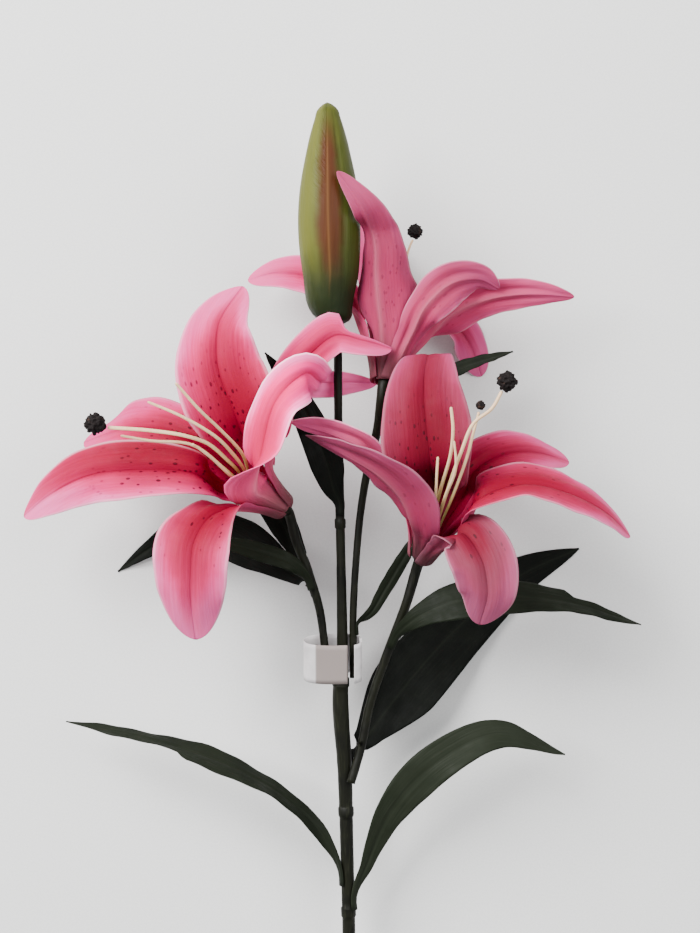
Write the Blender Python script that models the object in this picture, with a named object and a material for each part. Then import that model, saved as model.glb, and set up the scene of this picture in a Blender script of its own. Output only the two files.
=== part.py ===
"""Cut lily spray laid on a surface: three open blooms, a closed bud, leaves and a blank paper band.

Run with: blender --background --python part.py

The spray lies on its back along +Y with its blooms at the far end, seen from above. Places are in
millimetres as they are sighted from straight above: u to the right, v towards the bud, and the
height z over the surface. sighted() turns a sighted place into a real one.
"""

import math
from collections import namedtuple

import bmesh
import bpy
import numpy as np

# Driving dimensions, in millimetres
MM = 0.001
SIGHT_DISTANCE = 1100.0      # eye over the plane where sighted and real sizes agree
SIGHT_LEVEL = 40.0           # height of that plane
SIGHT_CENTRE = 233.0         # v straight below the eye
ORIGIN = (-7.71, 98.16)       # middle of the spray's box, which becomes the object's origin

STEM_START, STEM_END = -200.0, 303.5      # v of the cut end and of the bud's foot
STEM_LOW, STEM_HIGH = 3.32, 60.0          # heights of the stem's middle there
SEAT_GAP = 0.35              # between a piece and the one that carries it
LAYER_STEP = 1.97            # from the inner petals' claws to the outer ones'
PETAL_THICK = 0.9
LEAF_THICK = 0.7
PAPER_THICK = 0.6

Bloom = namedtuple("Bloom", "base throat up")
Petal = namedtuple("Petal", "bloom turn layer width widest sharp wave points split trim flare",
                   defaults=((2, 1, 0), (1, 1), 1))
Leaf = namedtuple("Leaf", "root width widest sharp wave points split trim",
                  defaults=((2, 1, 0), (1, 1)))

# Blooms: where the tube starts, where its throat opens, and the direction that turn 0 leans to
BLOOMS = {
    "left": Bloom((-33.5, 213, 52), (-57.5, 229, 78), (0, 1, 0)),
    "right": Bloom((35.5, 188, 54), (46.5, 214, 80), (0, 1, 0)),
    "back": Bloom((17, 274, 62), (22.5, 300, 52.5), (0, 0, 1)),
}

# Petals: each point beyond the throat is its place, what its inner face looks towards, and how
# strongly the blade bends across there, in 1/mm, with edges rising inwards where it is positive;
# flare is how many times wider than the plain tube the petal's claw opens towards the throat
PETALS = {
    "left_petal_up": Petal("left", 0, "inner", 23, 0.53, 1.3, (1.2, 2.0, 0.3), [
        ((-58, 260, 83), (0.1, -0.45, 0.9), 0.03),
        ((-66, 284, 86), (0.1, -0.1, 0.98), 0.004),
        ((-66, 303, 81), (-0.2, 0.2, 0.95), 0.0),
        ((-53.5, 323, 70), (-0.2, 0.5, 0.85), -0.02)]),
    "left_petal_far": Petal("left", 60, "outer", 16, 0.6, 1.9, (2.2, 2.5, 1.2), [
        ((-86, 250, 66), (-0.2, 0.5, 0.8), 0.02),
        ((-108, 253, 50), (-0.3, 0.5, 0.8), 0.0),
        ((-133, 245, 30), (-0.5, 0.6, 0.6), -0.02)]),
    "left_petal_long": Petal("left", 120, "inner", 15.5, 0.6, 1.9, (1.0, 2.0, 2.2), [
        ((-76, 229, 87), (-0.15, 0.35, 0.9), 0.02),
        ((-107, 231.5, 83), (-0.1, 0.3, 0.95), 0.004),
        ((-133, 228, 74), (-0.3, 0.3, 0.9), 0.0),
        ((-150, 219, 64), (-0.4, 0.35, 0.85), -0.01),
        ((-163, 208, 54), (-0.5, 0.4, 0.8), -0.02)]),
    "left_petal_down": Petal("left", 180, "outer", 19, 0.6, 2.0, (1.2, 2.0, 0.9), [
        ((-68, 210, 88), (-0.3, 0.5, 0.75), 0.01),
        ((-78, 196, 100), (-0.3, 0.0, 0.95), 0.004),
        ((-80, 174, 101), (-0.2, -0.2, 0.95), -0.006),
        ((-77, 146.5, 88), (-0.1, -0.5, 0.85), -0.03)]),
    "left_petal_near": Petal("left", 238, "inner", 12.5, 0.24, 1.7, (0.5, 2.0, 0.2), [
        ((-44, 245, 91), (-0.6, 0.25, 0.75), 0.015),
        ((-37, 267, 95), (-0.5, 0.2, 0.85), -0.01),
        ((-23, 279, 89), (0.2, -0.1, 0.97), -0.01),
        ((-15, 275, 70), (0.72, -0.66, 0.2), 0.0),
        ((-12, 274.5, 53), (0.65, -0.55, 0.5), 0.0),
        ((-4, 275, 48.8), (0.2, -0.1, 0.97), 0.0),
        ((13.5, 274.5, 45), (0.1, 0.0, 0.99), 0.0)], trim=(1.2, 1)),
    "left_petal_right": Petal("left", 292, "outer", 15, 0.84, 2.0, (1.2, 1.5, 0.6), [
        ((-35, 252, 70), (-0.1, -0.1, 0.98), 0.0),
        ((-31, 275.5, 71.5), (0.0, 0.1, 0.98), 0.01),
        ((-18.5, 290.5, 73.5), (0.0, 0.2, 0.97), 0.01),
        ((-6, 299, 75), (0.0, 0.3, 0.94), 0.0),
        ((6, 296.5, 75), (0.0, 0.45, 0.9), 0.0),
        ((21, 292, 70), (0.1, 0.6, 0.8), -0.02)], (0.8, 1, 0.8), (0.65, 0.85), 1.15),
    "right_petal_up": Petal("right", 0, "inner", 23, 0.5, 1.3, (0.8, 2.0, 0.2), [
        ((40, 236, 86), (-0.1, -0.45, 0.9), 0.04),
        ((38, 256, 88), (-0.1, -0.1, 0.98), 0.004),
        ((37, 275, 82), (-0.1, 0.4, 0.9), 0.0),
        ((39.5, 289, 69), (-0.1, 0.9, 0.4), -0.01),
        ((42, 282.5, 58), (0.0, 0.8, -0.5), -0.02)]),
    "right_petal_left_far": Petal("right", 60, "outer", 11, 0.72, 2.0, (1.0, 2.0, 0.4), [
        ((14.5, 230, 57), (0.3, 0.5, -0.8), 0.03),
        ((6, 243, 68), (0.2, 0.6, -0.75), 0.0),
        ((-10, 250, 68), (0.1, 0.7, -0.7), 0.0),
        ((-29.5, 255, 66), (0.0, 0.8, -0.6), -0.02)], trim=(0.52, 0.85), flare=1.32),
    "right_petal_left": Petal("right", 116, "inner", 15.5, 0.38, 1.5, (0.8, 2.0, 1.5), [
        ((26.5, 217, 91.5), (0.5, 0.6, -0.6), 0.06),
        ((14, 230, 94), (0.3, 0.75, -0.6), 0.02),
        ((-3, 240, 89), (0.2, 0.85, -0.5), 0.0),
        ((-22, 248.5, 78), (0.1, 0.9, -0.3), -0.02)], trim=(0.77, 1), flare=1.35),
    "right_petal_down": Petal("right", 180, "outer", 16, 0.6, 2.0, (1.0, 2.0, 0.7), [
        ((55, 200.5, 93), (-0.1, 0.75, 0.6), 0.01),
        ((66, 187, 100), (0.1, 0.0, 0.98), 0.004),
        ((69, 171, 99), (0.0, -0.2, 0.97), -0.006),
        ((65, 154, 88), (0.0, -0.5, 0.85), -0.03)], flare=1.35),
    "right_petal_long": Petal("right", 240, "inner", 15.5, 0.5, 2.0, (1.0, 2.0, 0.1), [
        ((65, 218, 88), (-0.2, 0.8, 0.5), 0.02),
        ((86, 225, 86), (0.0, 0.85, 0.5), 0.01),
        ((108, 221, 81), (0.2, 0.8, 0.55), 0.0),
        ((127, 211, 72), (0.4, 0.7, 0.6), 0.0),
        ((140, 198, 62), (0.6, 0.6, 0.5), -0.02)]),
    "right_petal_far": Petal("right", 300, "outer", 12.5, 0.55, 2.0, (1.5, 2.0, 1.0), [
        ((62, 231, 71), (0.0, 0.4, 0.9), 0.005),
        ((79, 240, 63), (0.2, 0.5, 0.85), 0.0),
        ((94, 240, 55), (0.3, 0.5, 0.8), 0.0),
        ((109.5, 235, 47), (0.4, 0.5, 0.75), -0.02)]),
    "back_petal_near_right": Petal("back", 30, "outer", 11, 0.6, 1.5, (1.2, 2.5, 0.8), [
        ((39, 314, 70), (0.3, 0.1, -0.95), 0.02),
        ((54, 326, 69), (0.2, 0.3, -0.93), 0.0),
        ((65, 327, 65), (0.2, 0.5, -0.8), 0.0),
        ((74.5, 322, 60), (0.3, 0.6, -0.7), -0.02)]),
    "back_petal_right": Petal("back", 90, "inner", 11, 0.45, 1.4, (0.8, 2.0, 0.3), [
        ((49, 308, 55), (-0.1, 0.3, -0.95), 0.02),
        ((68, 317, 54.5), (0.0, 0.5, -0.85), 0.0),
        ((84, 319.5, 54), (0.1, 0.5, -0.85), 0.0),
        ((98, 319.3, 53), (0.1, 0.5, -0.85), 0.0),
        ((112, 317.8, 50), (0.2, 0.6, -0.8), -0.02)]),
    "back_petal_lower": Petal("back", 150, "outer", 11, 0.7, 2.2, (1.0, 2.0, 0.9), [
        ((41, 307, 29), (-0.4, 0.4, 0.8), 0.0),
        ((54, 303, 16), (0.2, 0.4, 0.9), 0.0),
        ((61, 292, 5), (0.3, 0.2, 0.9), 0.0),
        ((65.5, 278, 0), (0.1, 0.0, 0.99), 0.0)]),
    "back_petal_under": Petal("back", 210, "inner", 11, 0.55, 2.0, (0.8, 2.0, 0.4), [
        ((16, 318, 26), (0.1, 0.3, 0.9), 0.01),
        ((12, 339, 9), (0.0, 0.4, 0.9), 0.0),
        ((9, 360, 0), (0.0, 0.1, 0.99), 0.0)]),
    "back_petal_left": Petal("back", 270, "outer", 10.5, 0.65, 2.2, (0.8, 2.0, 0.6), [
        ((-3, 319, 41), (0.3, 0.4, 0.9), 0.01),
        ((-19, 328, 35), (0.0, 0.4, 0.9), 0.0),
        ((-36, 330, 30), (-0.1, 0.4, 0.9), 0.0),
        ((-51, 326, 27), (-0.2, 0.5, 0.8), -0.02)]),
    "back_petal_up": Petal("back", 330, "inner", 22.5, 0.42, 0.5, (0.4, 2.0, 0.5), [
        ((14.5, 316, 65), (0.25, 0.2, -0.95), 0.05),
        ((13.5, 330, 65.5), (0.4, 0.1, -0.9), 0.07),
        ((13.5, 341, 67.8), (0.42, 0.1, -0.9), 0.07),
        ((12, 350, 69.5), (0.5, 0.2, -0.85), 0.08),
        ((7, 361, 78.5), (0.0, 0.3, -0.95), 0.02),
        ((-6.5, 380.5, 80.5), (-0.4, 0.4, -0.8), 0.0)], trim=(0.6, 1)),
}

# Stems: sighted places of the middle and radius there, from the root up
MAIN_STEM = [((-0.5, 0), 3.3), ((-2, 60.5), 3.4), ((-2.6, 84), 3.7), ((-4.6, 106), 4.1),
             ((-4.8, 121), 4.1), ((-3.9, 133), 2.9), ((-4, 157.5), 2.6), ((-4.6, 190), 2.2),
             ((-4.9, 204.5), 2.3), ((-6, 266.5), 2.1), ((-6, STEM_END), 2.1)]
MAIN_COLLARS = (10.5, 60.5, 125.5, 204.5)
BRANCHES = {
    "left_branch": ("left", 128, (-0.92, 0, 0.4), [
        ((-12.5, 143, 42.5), 2.0), ((-15.3, 162, 44), 2.1), ((-20.3, 178.5, 46), 2.2),
        ((-27, 196, 48.5), 2.4)]),
    "right_branch": ("right", 76, (0.45, 0, 0.89), [
        ((5.4, 92, 38.5), 2.2), ((9.7, 113, 39.5), 2.2), ((17.5, 136.5, 42), 2.2),
        ((28.3, 165, 48), 2.4)]),
    "back_branch": ("back", 128, (1.0, 0, 0.15), [
        ((1.6, 160, 44), 1.8), ((3.1, 187, 46), 1.8), ((6, 215.5, 47), 1.9),
        ((8.5, 230, 49), 2.1), ((13.5, 251, 55), 2.2)]),
}
TUBE_SIDES_RESOLUTION = 3    # a curve's bevel with this resolution has ten sides

# Bud: its middle line, then how far along it from the foot and the half width there
BUD_LINE = [(-6, 304.1, 60.2), (-8.8, 309, 60.6), (-9.9, 330, 61.6), (-10.7, 351, 62.5),
            (-11.2, 380, 63.8), (-11.4, 414, 65)]
BUD_PROFILE = [(0, 2.6), (1.5, 6), (4, 8.6), (9, 10.6), (16.5, 12.3), (30.5, 14.3), (44, 15.3),
               (57, 15.2), (71, 13.8), (84, 11.3), (95, 8.8), (103, 6.4), (108, 4.6), (110, 2.4)]
BUD_SIDES = 18
BUD_LOBE = 0.035

# Stamens: strands from the root inside the tube, as sighted places with the radius at the end
STAMENS = {
    "left": [
        ([(-60, 235, 90), (-72, 245, 98), (-81, 248, 102), (-100, 251, 104),
          (-121.5, 252.5, 104)], 1.2),
        ([(-55, 241, 92), (-65.5, 252, 104), (-75, 261, 112), (-87.5, 275, 118)], 1.15),
        ([(-57.5, 238, 94), (-66, 247, 106), (-84, 258, 115), (-101.5, 265.5, 118)], 0.85),
        ([(-61.5, 230, 94), (-69, 237, 103), (-79, 244.5, 111)], 0.85),
        ([(-63, 232, 90), (-78, 243.5, 96), (-100.5, 246, 98), (-115, 248.5, 99)], 0.9),
    ],
    "right": [
        ([(49, 222, 90), (55.5, 240, 103), (62.5, 255.5, 106), (71, 262, 106), (76.1, 271.1, 105.6)], 1.35),
        ([(46, 224, 90), (50.5, 240, 97), (51.5, 252, 100), (50.5, 263, 101)], 1.0),
        ([(43, 220, 90), (43.5, 230, 95), (44, 238, 97)], 1.1),
        ([(48, 219, 93), (53, 233, 103), (52, 246, 106)], 0.7),
        ([(52, 220, 88), (58.5, 238, 99.5), (62.5, 253, 101.5), (64.5, 260.6, 102.5)], 1.15),
    ],
    "back": [
        ([(24, 304, 51), (27, 324, 48), (29.5, 342, 47), (31.5, 346.6, 47)], 0.9),
        ([(26.5, 302, 48), (33, 318, 43), (38, 328, 40)], 0.7),
    ],
}
STRAND_WIDTHS = [(0, 0.8), (0.45, 1.25)]    # share of a strand, radius there, up to its end
STRAND_RING = 2.6            # distance of the strands from the tube's axis
PAD_RADIUS = 3.6
PAD_PLACE = 8.55             # along the tube, from its base

# Pollen lumps: sighted centre, radius
LUMPS = {
    "left_stigma": ((-127.5, 254.5, 105), 5.4),
    "right_stigma": ((78.5, 275.5, 106), 5.0),
    "back_stigma": ((32.5, 350.5, 47), 4.0),
    "right_anther": ((65.3, 263.6, 103), 2.4),
}

# Leaves: stem, v of the root on it, direction of the root's face, then as for petals
LEAVES = {
    "leaf_low_left": Leaf(("main_stem", 24, (-0.85, 0, 0.5)), 9, 0.5, 1.6, (0.8, 3.0, 0.2), [
        ((-12, 46, 33), (-0.4, 0.6, 0.7), 0.02),
        ((-30.5, 66, 39), (-0.1, 0.9, 0.45), 0.01),
        ((-60, 83, 42), (-0.1, 0.92, 0.4), 0.01),
        ((-95, 95, 38), (-0.1, 0.92, 0.4), 0.01),
        ((-142, 105.5, 24), (-0.2, 0.9, 0.4), 0.0)], (0.62, 1, 0.45)),
    "leaf_low_right": Leaf(("main_stem", 12, (0.75, 0, 0.66)), 10, 0.5, 1.8, (0.8, 2.0, 0.9), [
        ((8, 33, 31), (0.4, 0.1, 0.9), 0.03),
        ((21.5, 62, 38), (0.2, 0.0, 0.97), 0.02),
        ((45, 86, 43), (0.1, 0.2, 0.97), 0.01),
        ((72, 99, 43), (0.1, 0.4, 0.9), 0.01),
        ((107.5, 89, 30), (0.4, 0.6, 0.7), 0.0)]),
    "leaf_big": Leaf(("main_stem", 80, (0.55, 0, -0.84)), 18, 0.33, 1.8, (0.8, 2.0, 0.4), [
        ((10, 100, 22), (-0.2, 0.1, 0.97), 0.02),
        ((27.5, 123, 16), (-0.1, 0.1, 0.98), 0.01),
        ((56.5, 155, 6), (0.0, 0.0, 1.0), 0.0),
        ((86, 179, 0.2), (0.0, 0.0, 1.0), 0.0),
        ((114.5, 192, 0), (0.0, 0.0, 1.0), 0.0)]),
    "leaf_right": Leaf(("right_branch", 143, (0.2, 0, 0.98)), 10, 0.35, 1.8, (0.8, 2.0, 0.6), [
        ((30, 155, 54), (0.1, 0.3, 0.95), 0.02),
        ((48, 164, 60), (0.0, 0.4, 0.9), 0.01),
        ((80, 168, 60), (0.1, 0.5, 0.85), 0.01),
        ((110, 165, 52), (0.2, 0.7, 0.7), 0.01),
        ((145.5, 154, 38), (0.3, 0.7, 0.6), 0.0)], (0.7, 1, 0.45)),
    "leaf_strip": Leaf(("back_branch", 149, (1.0, 0, 0.2)), 3.6, 0.5, 1.8, (0.3, 2.0, 0.3), [
        ((10.5, 160, 44), (0.3, -0.2, 0.9), 0.01),
        ((17, 171, 43), (0.2, -0.1, 0.95), 0.01),
        ((26, 186, 42), (0.1, 0.0, 0.98), 0.01),
        ((39, 207, 42), (0.0, 0.0, 1.0), 0.0)]),
    "leaf_behind_left": Leaf(("left_branch", 168, (-0.2, 0, -0.98)), 12, 0.4, 1.0,
                             (0.8, 2.0, 0.5), [
        ((-27, 178, 36), (-0.1, 0.2, 0.95), 0.01),
        ((-45, 190, 28), (0.0, 0.2, 0.97), 0.01),
        ((-78, 203, 17), (0.0, 0.2, 0.97), 0.01),
        ((-100, 192, 4), (0.0, 0.0, 1.0), 0.0),
        ((-116, 180.5, 0), (0.0, 0.0, 1.0), 0.0)]),
    "leaf_green_left": Leaf(("left_branch", 172, (-0.5, 0, 0.86)), 5, 0.45, 1.8,
                            (0.4, 2.0, 0.5), [
        ((-27, 183, 52), (-0.1, 0.3, 0.95), 0.02),
        ((-44, 190, 55), (0.0, 0.4, 0.9), 0.01),
        ((-59.5, 194, 55), (0.0, 0.3, 0.95), 0.01),
        ((-73, 195, 52), (0.0, 0.3, 0.95), 0.0)]),
    "leaf_dark_left": Leaf(("left_branch", 176, (0.0, 0, -1.0)), 7, 0.45, 1.8,
                           (0.4, 2.0, 0.5), [
        ((-27, 192, 40), (0.1, 0.0, 0.98), 0.02),
        ((-36, 208, 37), (0.0, 0.0, 1.0), 0.01),
        ((-46, 222, 37), (0.0, 0.0, 1.0), 0.01),
        ((-56, 240, 40), (0.0, 0.0, 1.0), 0.0)]),
    "leaf_centre": Leaf(("main_stem", 209, (0.0, 0, 1.0)), 8.5, 0.32, 1.7, (0.5, 2.0, 0.5), [
        ((-8.5, 222, 57), (0.1, -0.2, 0.97), 0.03),
        ((-11.5, 234, 59), (0.1, 0.0, 0.98), 0.02),
        ((-16, 246, 58.8), (0.0, 0.1, 0.98), 0.02),
        ((-28, 270, 57.3), (0.0, 0.1, 0.98), 0.01),
        ((-42.5, 290, 57), (0.0, 0.1, 0.98), 0.0)]),
    "leaf_small_back": Leaf(("back_branch", 256, (1.0, 0, 0.0)), 5, 0.5, 1.8, (0.3, 2.0, 0.5), [
        ((26, 271, 55), (-0.1, 0.6, 0.8), 0.02),
        ((46, 279, 52), (0.0, 0.6, 0.8), 0.01),
        ((65, 286, 48), (0.0, 0.7, 0.7), 0.01),
        ((81.5, 290.5, 45), (0.0, 0.7, 0.7), 0.0)]),
}

# Paper band: a blank strip looped round the left branch, in front of the main stem
BAND_HALF = 10.5
BAND_CENTRE = (0, 136.5, 42)
BAND_TILT = 20               # degrees, rise of the loop's axis towards the bud
BAND_LOOP = [(-1.2, 6.1), (-9, 6.4), (-16.5, 5.8), (-21.3, 3.6), (-23, -0.3), (-21.2, -4.4),
             (-16, -7.0), (-8, -7.6), (0, -7.3), (4.2, -5.2), (5.6, -1.2), (5.3, 3.1), (2.2, 5.9)]

# Mesh fineness
PETAL_ROWS, PETAL_COLUMNS = 13, 6
LEAF_ROWS, LEAF_COLUMNS = 13, 4
BAND_ROWS = 30
TIP_CROWDING = 1.25          # rows draw together towards a blade's tip
TIP_HALF_WIDTH = 0.5
# How late a blade widens after its narrow foot, and how drawn-out its tip is
FORMS = {"inner": (1.25, 0.55), "outer": (1.6, 0.55), "leaf": (1.1, 0.8)}

COLOURS = {
    "petal": ((0.80, 0.16, 0.30), 0.55),
    "leaf": ((0.030, 0.045, 0.030), 0.5),
    "stem": ((0.045, 0.045, 0.030), 0.5),
    "bud": ((0.20, 0.22, 0.05), 0.45),
    "strand": ((0.80, 0.74, 0.45), 0.5),
    "pollen": ((0.012, 0.008, 0.008), 0.9),
    "paper": ((0.85, 0.82, 0.82), 0.8),
}


def clear_scene():
    for thing in list(bpy.data.objects):
        bpy.data.objects.remove(thing)


def material(name):
    """The finish of one kind of piece."""
    colour, roughness = COLOURS[name]
    made = bpy.data.materials.get(name) or bpy.data.materials.new(name)
    made.use_nodes = True
    shader = made.node_tree.nodes["Principled BSDF"]
    shader.inputs["Base Color"].default_value = (*colour, 1)
    shader.inputs["Roughness"].default_value = roughness
    return made


def unit(vector):
    vector = np.asarray(vector, float)
    return vector / np.linalg.norm(vector, axis=-1, keepdims=True)


def sighted(place):
    """The real place, in millimetres from the origin, of what is sighted at (u, v) at height z."""
    u, v, z = place
    spread = (SIGHT_DISTANCE - (z - SIGHT_LEVEL)) / SIGHT_DISTANCE
    return np.array([u * spread - ORIGIN[0],
                     SIGHT_CENTRE + (v - SIGHT_CENTRE) * spread - ORIGIN[1], z])


def smooth(knots, values, places):
    """Values at the places on a smooth curve through the values given at the knots."""
    knots, values, places = (np.asarray(x, float) for x in (knots, values, places))
    slopes = np.gradient(values, knots, axis=0)
    i = np.clip(np.searchsorted(knots, places, side="right") - 1, 0, len(knots) - 2)
    span = knots[i + 1] - knots[i]
    t = (places - knots[i]) / span
    if values.ndim > 1:
        span, t = span[:, None], t[:, None]
    return ((2 * t**3 - 3 * t**2 + 1) * values[i] + (t**3 - 2 * t**2 + t) * span * slopes[i]
            + (3 * t**2 - 2 * t**3) * values[i + 1] + (t**3 - t**2) * span * slopes[i + 1])


def chord_knots(points):
    steps = np.linalg.norm(np.diff(points, axis=0), axis=1)
    return np.concatenate([[0], np.cumsum(steps)]) / steps.sum()


def smooth_step(t):
    t = np.clip(t, 0, 1)
    return t * t * (3 - 2 * t)


class Spine:
    """The midrib of a blade: its place, direction, facing and bend at any share of its length."""

    def __init__(self, points, facings, bends):
        self.points = np.array(points, float)
        self.facings = unit(facings)
        self.bends = np.array(bends, float)
        self.knots = chord_knots(self.points)

    def at(self, places):
        place = smooth(self.knots, self.points, places)
        ahead = smooth(self.knots, self.points, np.clip(places + 0.004, 0, 1))
        behind = smooth(self.knots, self.points, np.clip(places - 0.004, 0, 1))
        along = unit(ahead - behind)
        facing = smooth(self.knots, self.facings, places)
        facing = unit(facing - (facing * along).sum(1, keepdims=True) * along)
        across = np.cross(facing, along)
        bend = np.interp(places, self.knots, self.bends)
        return place, along, across, facing, bend


def half_width(share, foot, blade, form):
    """Half a blade's width: a narrow foot, then its widest place, then a drawn-out tip."""
    rise, fall = form
    rising = foot + (blade.width - foot) * smooth_step((share / blade.widest) ** rise)
    over = np.clip((share - blade.widest) / (1 - blade.widest), 0, 1)
    falling = blade.width * (1 - over**blade.sharp) ** fall
    return np.maximum(np.where(share < blade.widest, rising, falling), TIP_HALF_WIDTH)


def bowed(reach, bend):
    """How far across and inwards an arc of this bend gets, reach along it from the midrib."""
    angle = reach * bend
    return (reach * np.sinc(angle / np.pi),
            reach * np.sin(angle / 2) * np.sinc(angle / 2 / np.pi))


def sheet(name, columns, rows, surface, thickness, finish):
    """A blade as one closed solid: a grid laid on the surface, with its back raised off it."""
    shape = bmesh.new()
    bmesh.ops.create_grid(shape, x_segments=columns, y_segments=rows, size=1)
    bmesh.ops.triangulate(shape, faces=shape.faces[:], quad_method="FIXED")
    flat = np.array([corner.co for corner in shape.verts])
    side, share = flat[:, 0], 1 - (1 - (flat[:, 1] + 1) / 2) ** TIP_CROWDING
    for corner, place in zip(shape.verts, surface(side, share)):
        corner.co = place * MM
    bmesh.ops.recalc_face_normals(shape, faces=shape.faces[:])
    shape.normal_update()
    half = thickness / 2 * MM
    for corner in shape.verts:
        corner.co.z = max(corner.co.z, half)
    front = shape.verts[:]
    places = {corner: (corner.co - corner.normal * half, corner.co + corner.normal * half)
              for corner in front}
    grown = bmesh.ops.extrude_face_region(shape, geom=shape.faces[:], use_keep_orig=True)
    backs = [item for item in grown["geom"] if isinstance(item, bmesh.types.BMVert)]
    lookup = {corner.co.copy().freeze(): corner for corner in front}
    for back in backs:
        back.co = places[lookup[back.co.copy().freeze()]][1]
    for corner in front:
        corner.co = places[corner][0]
    for corner in shape.verts:
        corner.co.z = max(corner.co.z, 0)
    return finished(name, shape, finish)


def finished(name, shape, finish):
    """The bmesh as a named object with its finish."""
    shape.normal_update()
    bmesh.ops.recalc_face_normals(shape, faces=shape.faces[:])
    mesh = bpy.data.meshes.new(name)
    shape.to_mesh(mesh)
    shape.free()
    mesh.shade_smooth()
    mesh.materials.append(material(finish))
    made = bpy.data.objects.new(name, mesh)
    bpy.context.scene.collection.objects.link(made)
    return made


def blade_surface(spine, blade, foot, form):
    """The place on a blade of a side from -1 to 1 and a share of its length."""
    depth, count, phase = blade.wave
    start, cut_side, loss = blade.split

    def surface(side, share):
        place, along, across, facing, bend = spine.at(share)
        half = half_width(share, foot, blade, form) * np.where(side < 0, *blade.trim)
        sideways, inwards = bowed(side * half, bend)
        ripple = np.sin(2 * np.pi * (count * share + phase) + np.where(side > 0, 0, 1.9))
        grown = smooth_step(share / 0.35 - 0.6) * smooth_step((1 - share) / 0.12)
        inwards = inwards + depth * ripple * side**2 * grown
        cut = smooth_step((share - start) / 0.03) * np.where(side * cut_side > 0, loss, 0)
        sideways = sideways * (1 - cut)
        return place + across * sideways[:, None] + facing * inwards[:, None]

    return surface


def bloom_frame(bloom):
    """Base, axis and tube length of a bloom, with the two directions that turns are counted from."""
    base, throat = sighted(bloom.base), sighted(bloom.throat)
    axis = unit(throat - base)
    up = np.array(bloom.up, float)
    up = unit(up - up @ axis * axis)
    return base, axis, np.linalg.norm(throat - base), up, np.cross(axis, up)


CLAW = [(0.03, 4.9), (0.3, 6.8), (0.62, 10.0), (0.85, 13.3)]    # share of the tube, radius
FEET = {"inner": 4.5, "outer": 6.0}                             # half width of a petal's foot


def petal(name, data):
    base, axis, length, up, aside = bloom_frame(BLOOMS[data.bloom])
    turn = math.radians(data.turn)
    outwards = math.cos(turn) * up + math.sin(turn) * aside
    step = LAYER_STEP if data.layer == "outer" else 0
    points, facings, bends = [], [], []
    for share, radius in CLAW:
        radius = radius * (1 + (data.flare - 1) * share) + step
        points.append(base + axis * length * share + outwards * radius)
        facings.append(-outwards)
        bends.append(1 / radius)
    for place, facing, bend in data.points:
        points.append(sighted(place))
        facings.append(unit(facing))
        bends.append(bend)
    surface = blade_surface(Spine(points, facings, bends), data, FEET[data.layer],
                            FORMS[data.layer])
    return sheet(name, PETAL_COLUMNS, PETAL_ROWS, surface, PETAL_THICK, "petal")


def stem_height(v):
    return STEM_LOW + (STEM_HIGH - STEM_LOW) * (v - STEM_START) / (STEM_END - STEM_START)


def main_stem_line():
    """Middle points and radii of the main stem, with its collars."""
    vs = [v for (_, v), _ in MAIN_STEM]
    us = [u for (u, _), _ in MAIN_STEM]
    radii = [radius for _, radius in MAIN_STEM]
    stations = set(np.linspace(STEM_START, STEM_END, 22))
    for collar in MAIN_COLLARS:
        stations |= {collar - 2.6, collar - 2, collar + 2, collar + 2.6}
    stations = np.array(sorted(stations))
    line, widths = [], []
    for v in stations:
        u = np.interp(v, vs, us) if v > 0 else us[0] + 0.005 * v
        bulge = 0.5 if any(abs(v - collar) < 2.3 for collar in MAIN_COLLARS) else 0
        line.append(sighted((u, v, stem_height(v))))
        widths.append(np.interp(v, vs, radii) + bulge)
    return np.array(line), np.array(widths)


def branch_line(name):
    """Middle points and radii of a branch, from beside the main stem into its bloom's tube."""
    bloom_name, root_v, direction, stations = BRANCHES[name]
    root = stations[0][1]
    places = [beside("main_stem", root_v, direction, root), ]
    places += [sighted(place) for place, _ in stations]
    radii = [root] + [radius for _, radius in stations]
    base, axis, _, _, _ = bloom_frame(BLOOMS[bloom_name])
    places += [base - axis * 2, base + axis * 3, base + axis * 6]
    radii += [2.7, 4.0, 2.9]
    knots = chord_knots(places)
    shares = np.linspace(0, 1, 26)
    return smooth(knots, places, shares), np.interp(shares, knots, radii)


LINES = {}


def line_of(stem):
    if stem not in LINES:
        LINES[stem] = main_stem_line() if stem == "main_stem" else branch_line(stem)
    return LINES[stem]


def beside(stem, v, direction, reach):
    """A place reach and a gap off the stem's side, at the stem's station nearest the sighted v."""
    line, radii = line_of(stem)
    height = np.interp(v, [STEM_START, STEM_END], [STEM_LOW, STEM_HIGH])
    goal = sighted((0, v, height))[1]
    i = int(np.clip(np.searchsorted(line[:, 1], goal), 1, len(line) - 1))
    t = (goal - line[i - 1, 1]) / (line[i, 1] - line[i - 1, 1])
    middle = line[i - 1] + (line[i] - line[i - 1]) * t
    along = unit(line[i] - line[i - 1])
    direction = np.array(direction, float)
    direction = unit(direction - direction @ along * along)
    radius = max(radii[i - 1], radii[i])
    return middle + direction * (radius + SEAT_GAP + reach)


def tube(name, line, radii, finish, resolution=TUBE_SIDES_RESOLUTION):
    """A round stem of changing radius with filled ends."""
    curve = bpy.data.curves.new(name, "CURVE")
    curve.dimensions = "3D"
    curve.bevel_depth = MM
    curve.bevel_resolution = resolution
    curve.use_fill_caps = True
    strand = curve.splines.new("POLY")
    strand.points.add(len(line) - 1)
    for point, place, radius in zip(strand.points, line, radii):
        point.co = (*(place * MM), 1)
        point.radius = radius
    curve.materials.append(material(finish))
    made = bpy.data.objects.new(name, curve)
    bpy.context.scene.collection.objects.link(made)
    return made


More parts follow.
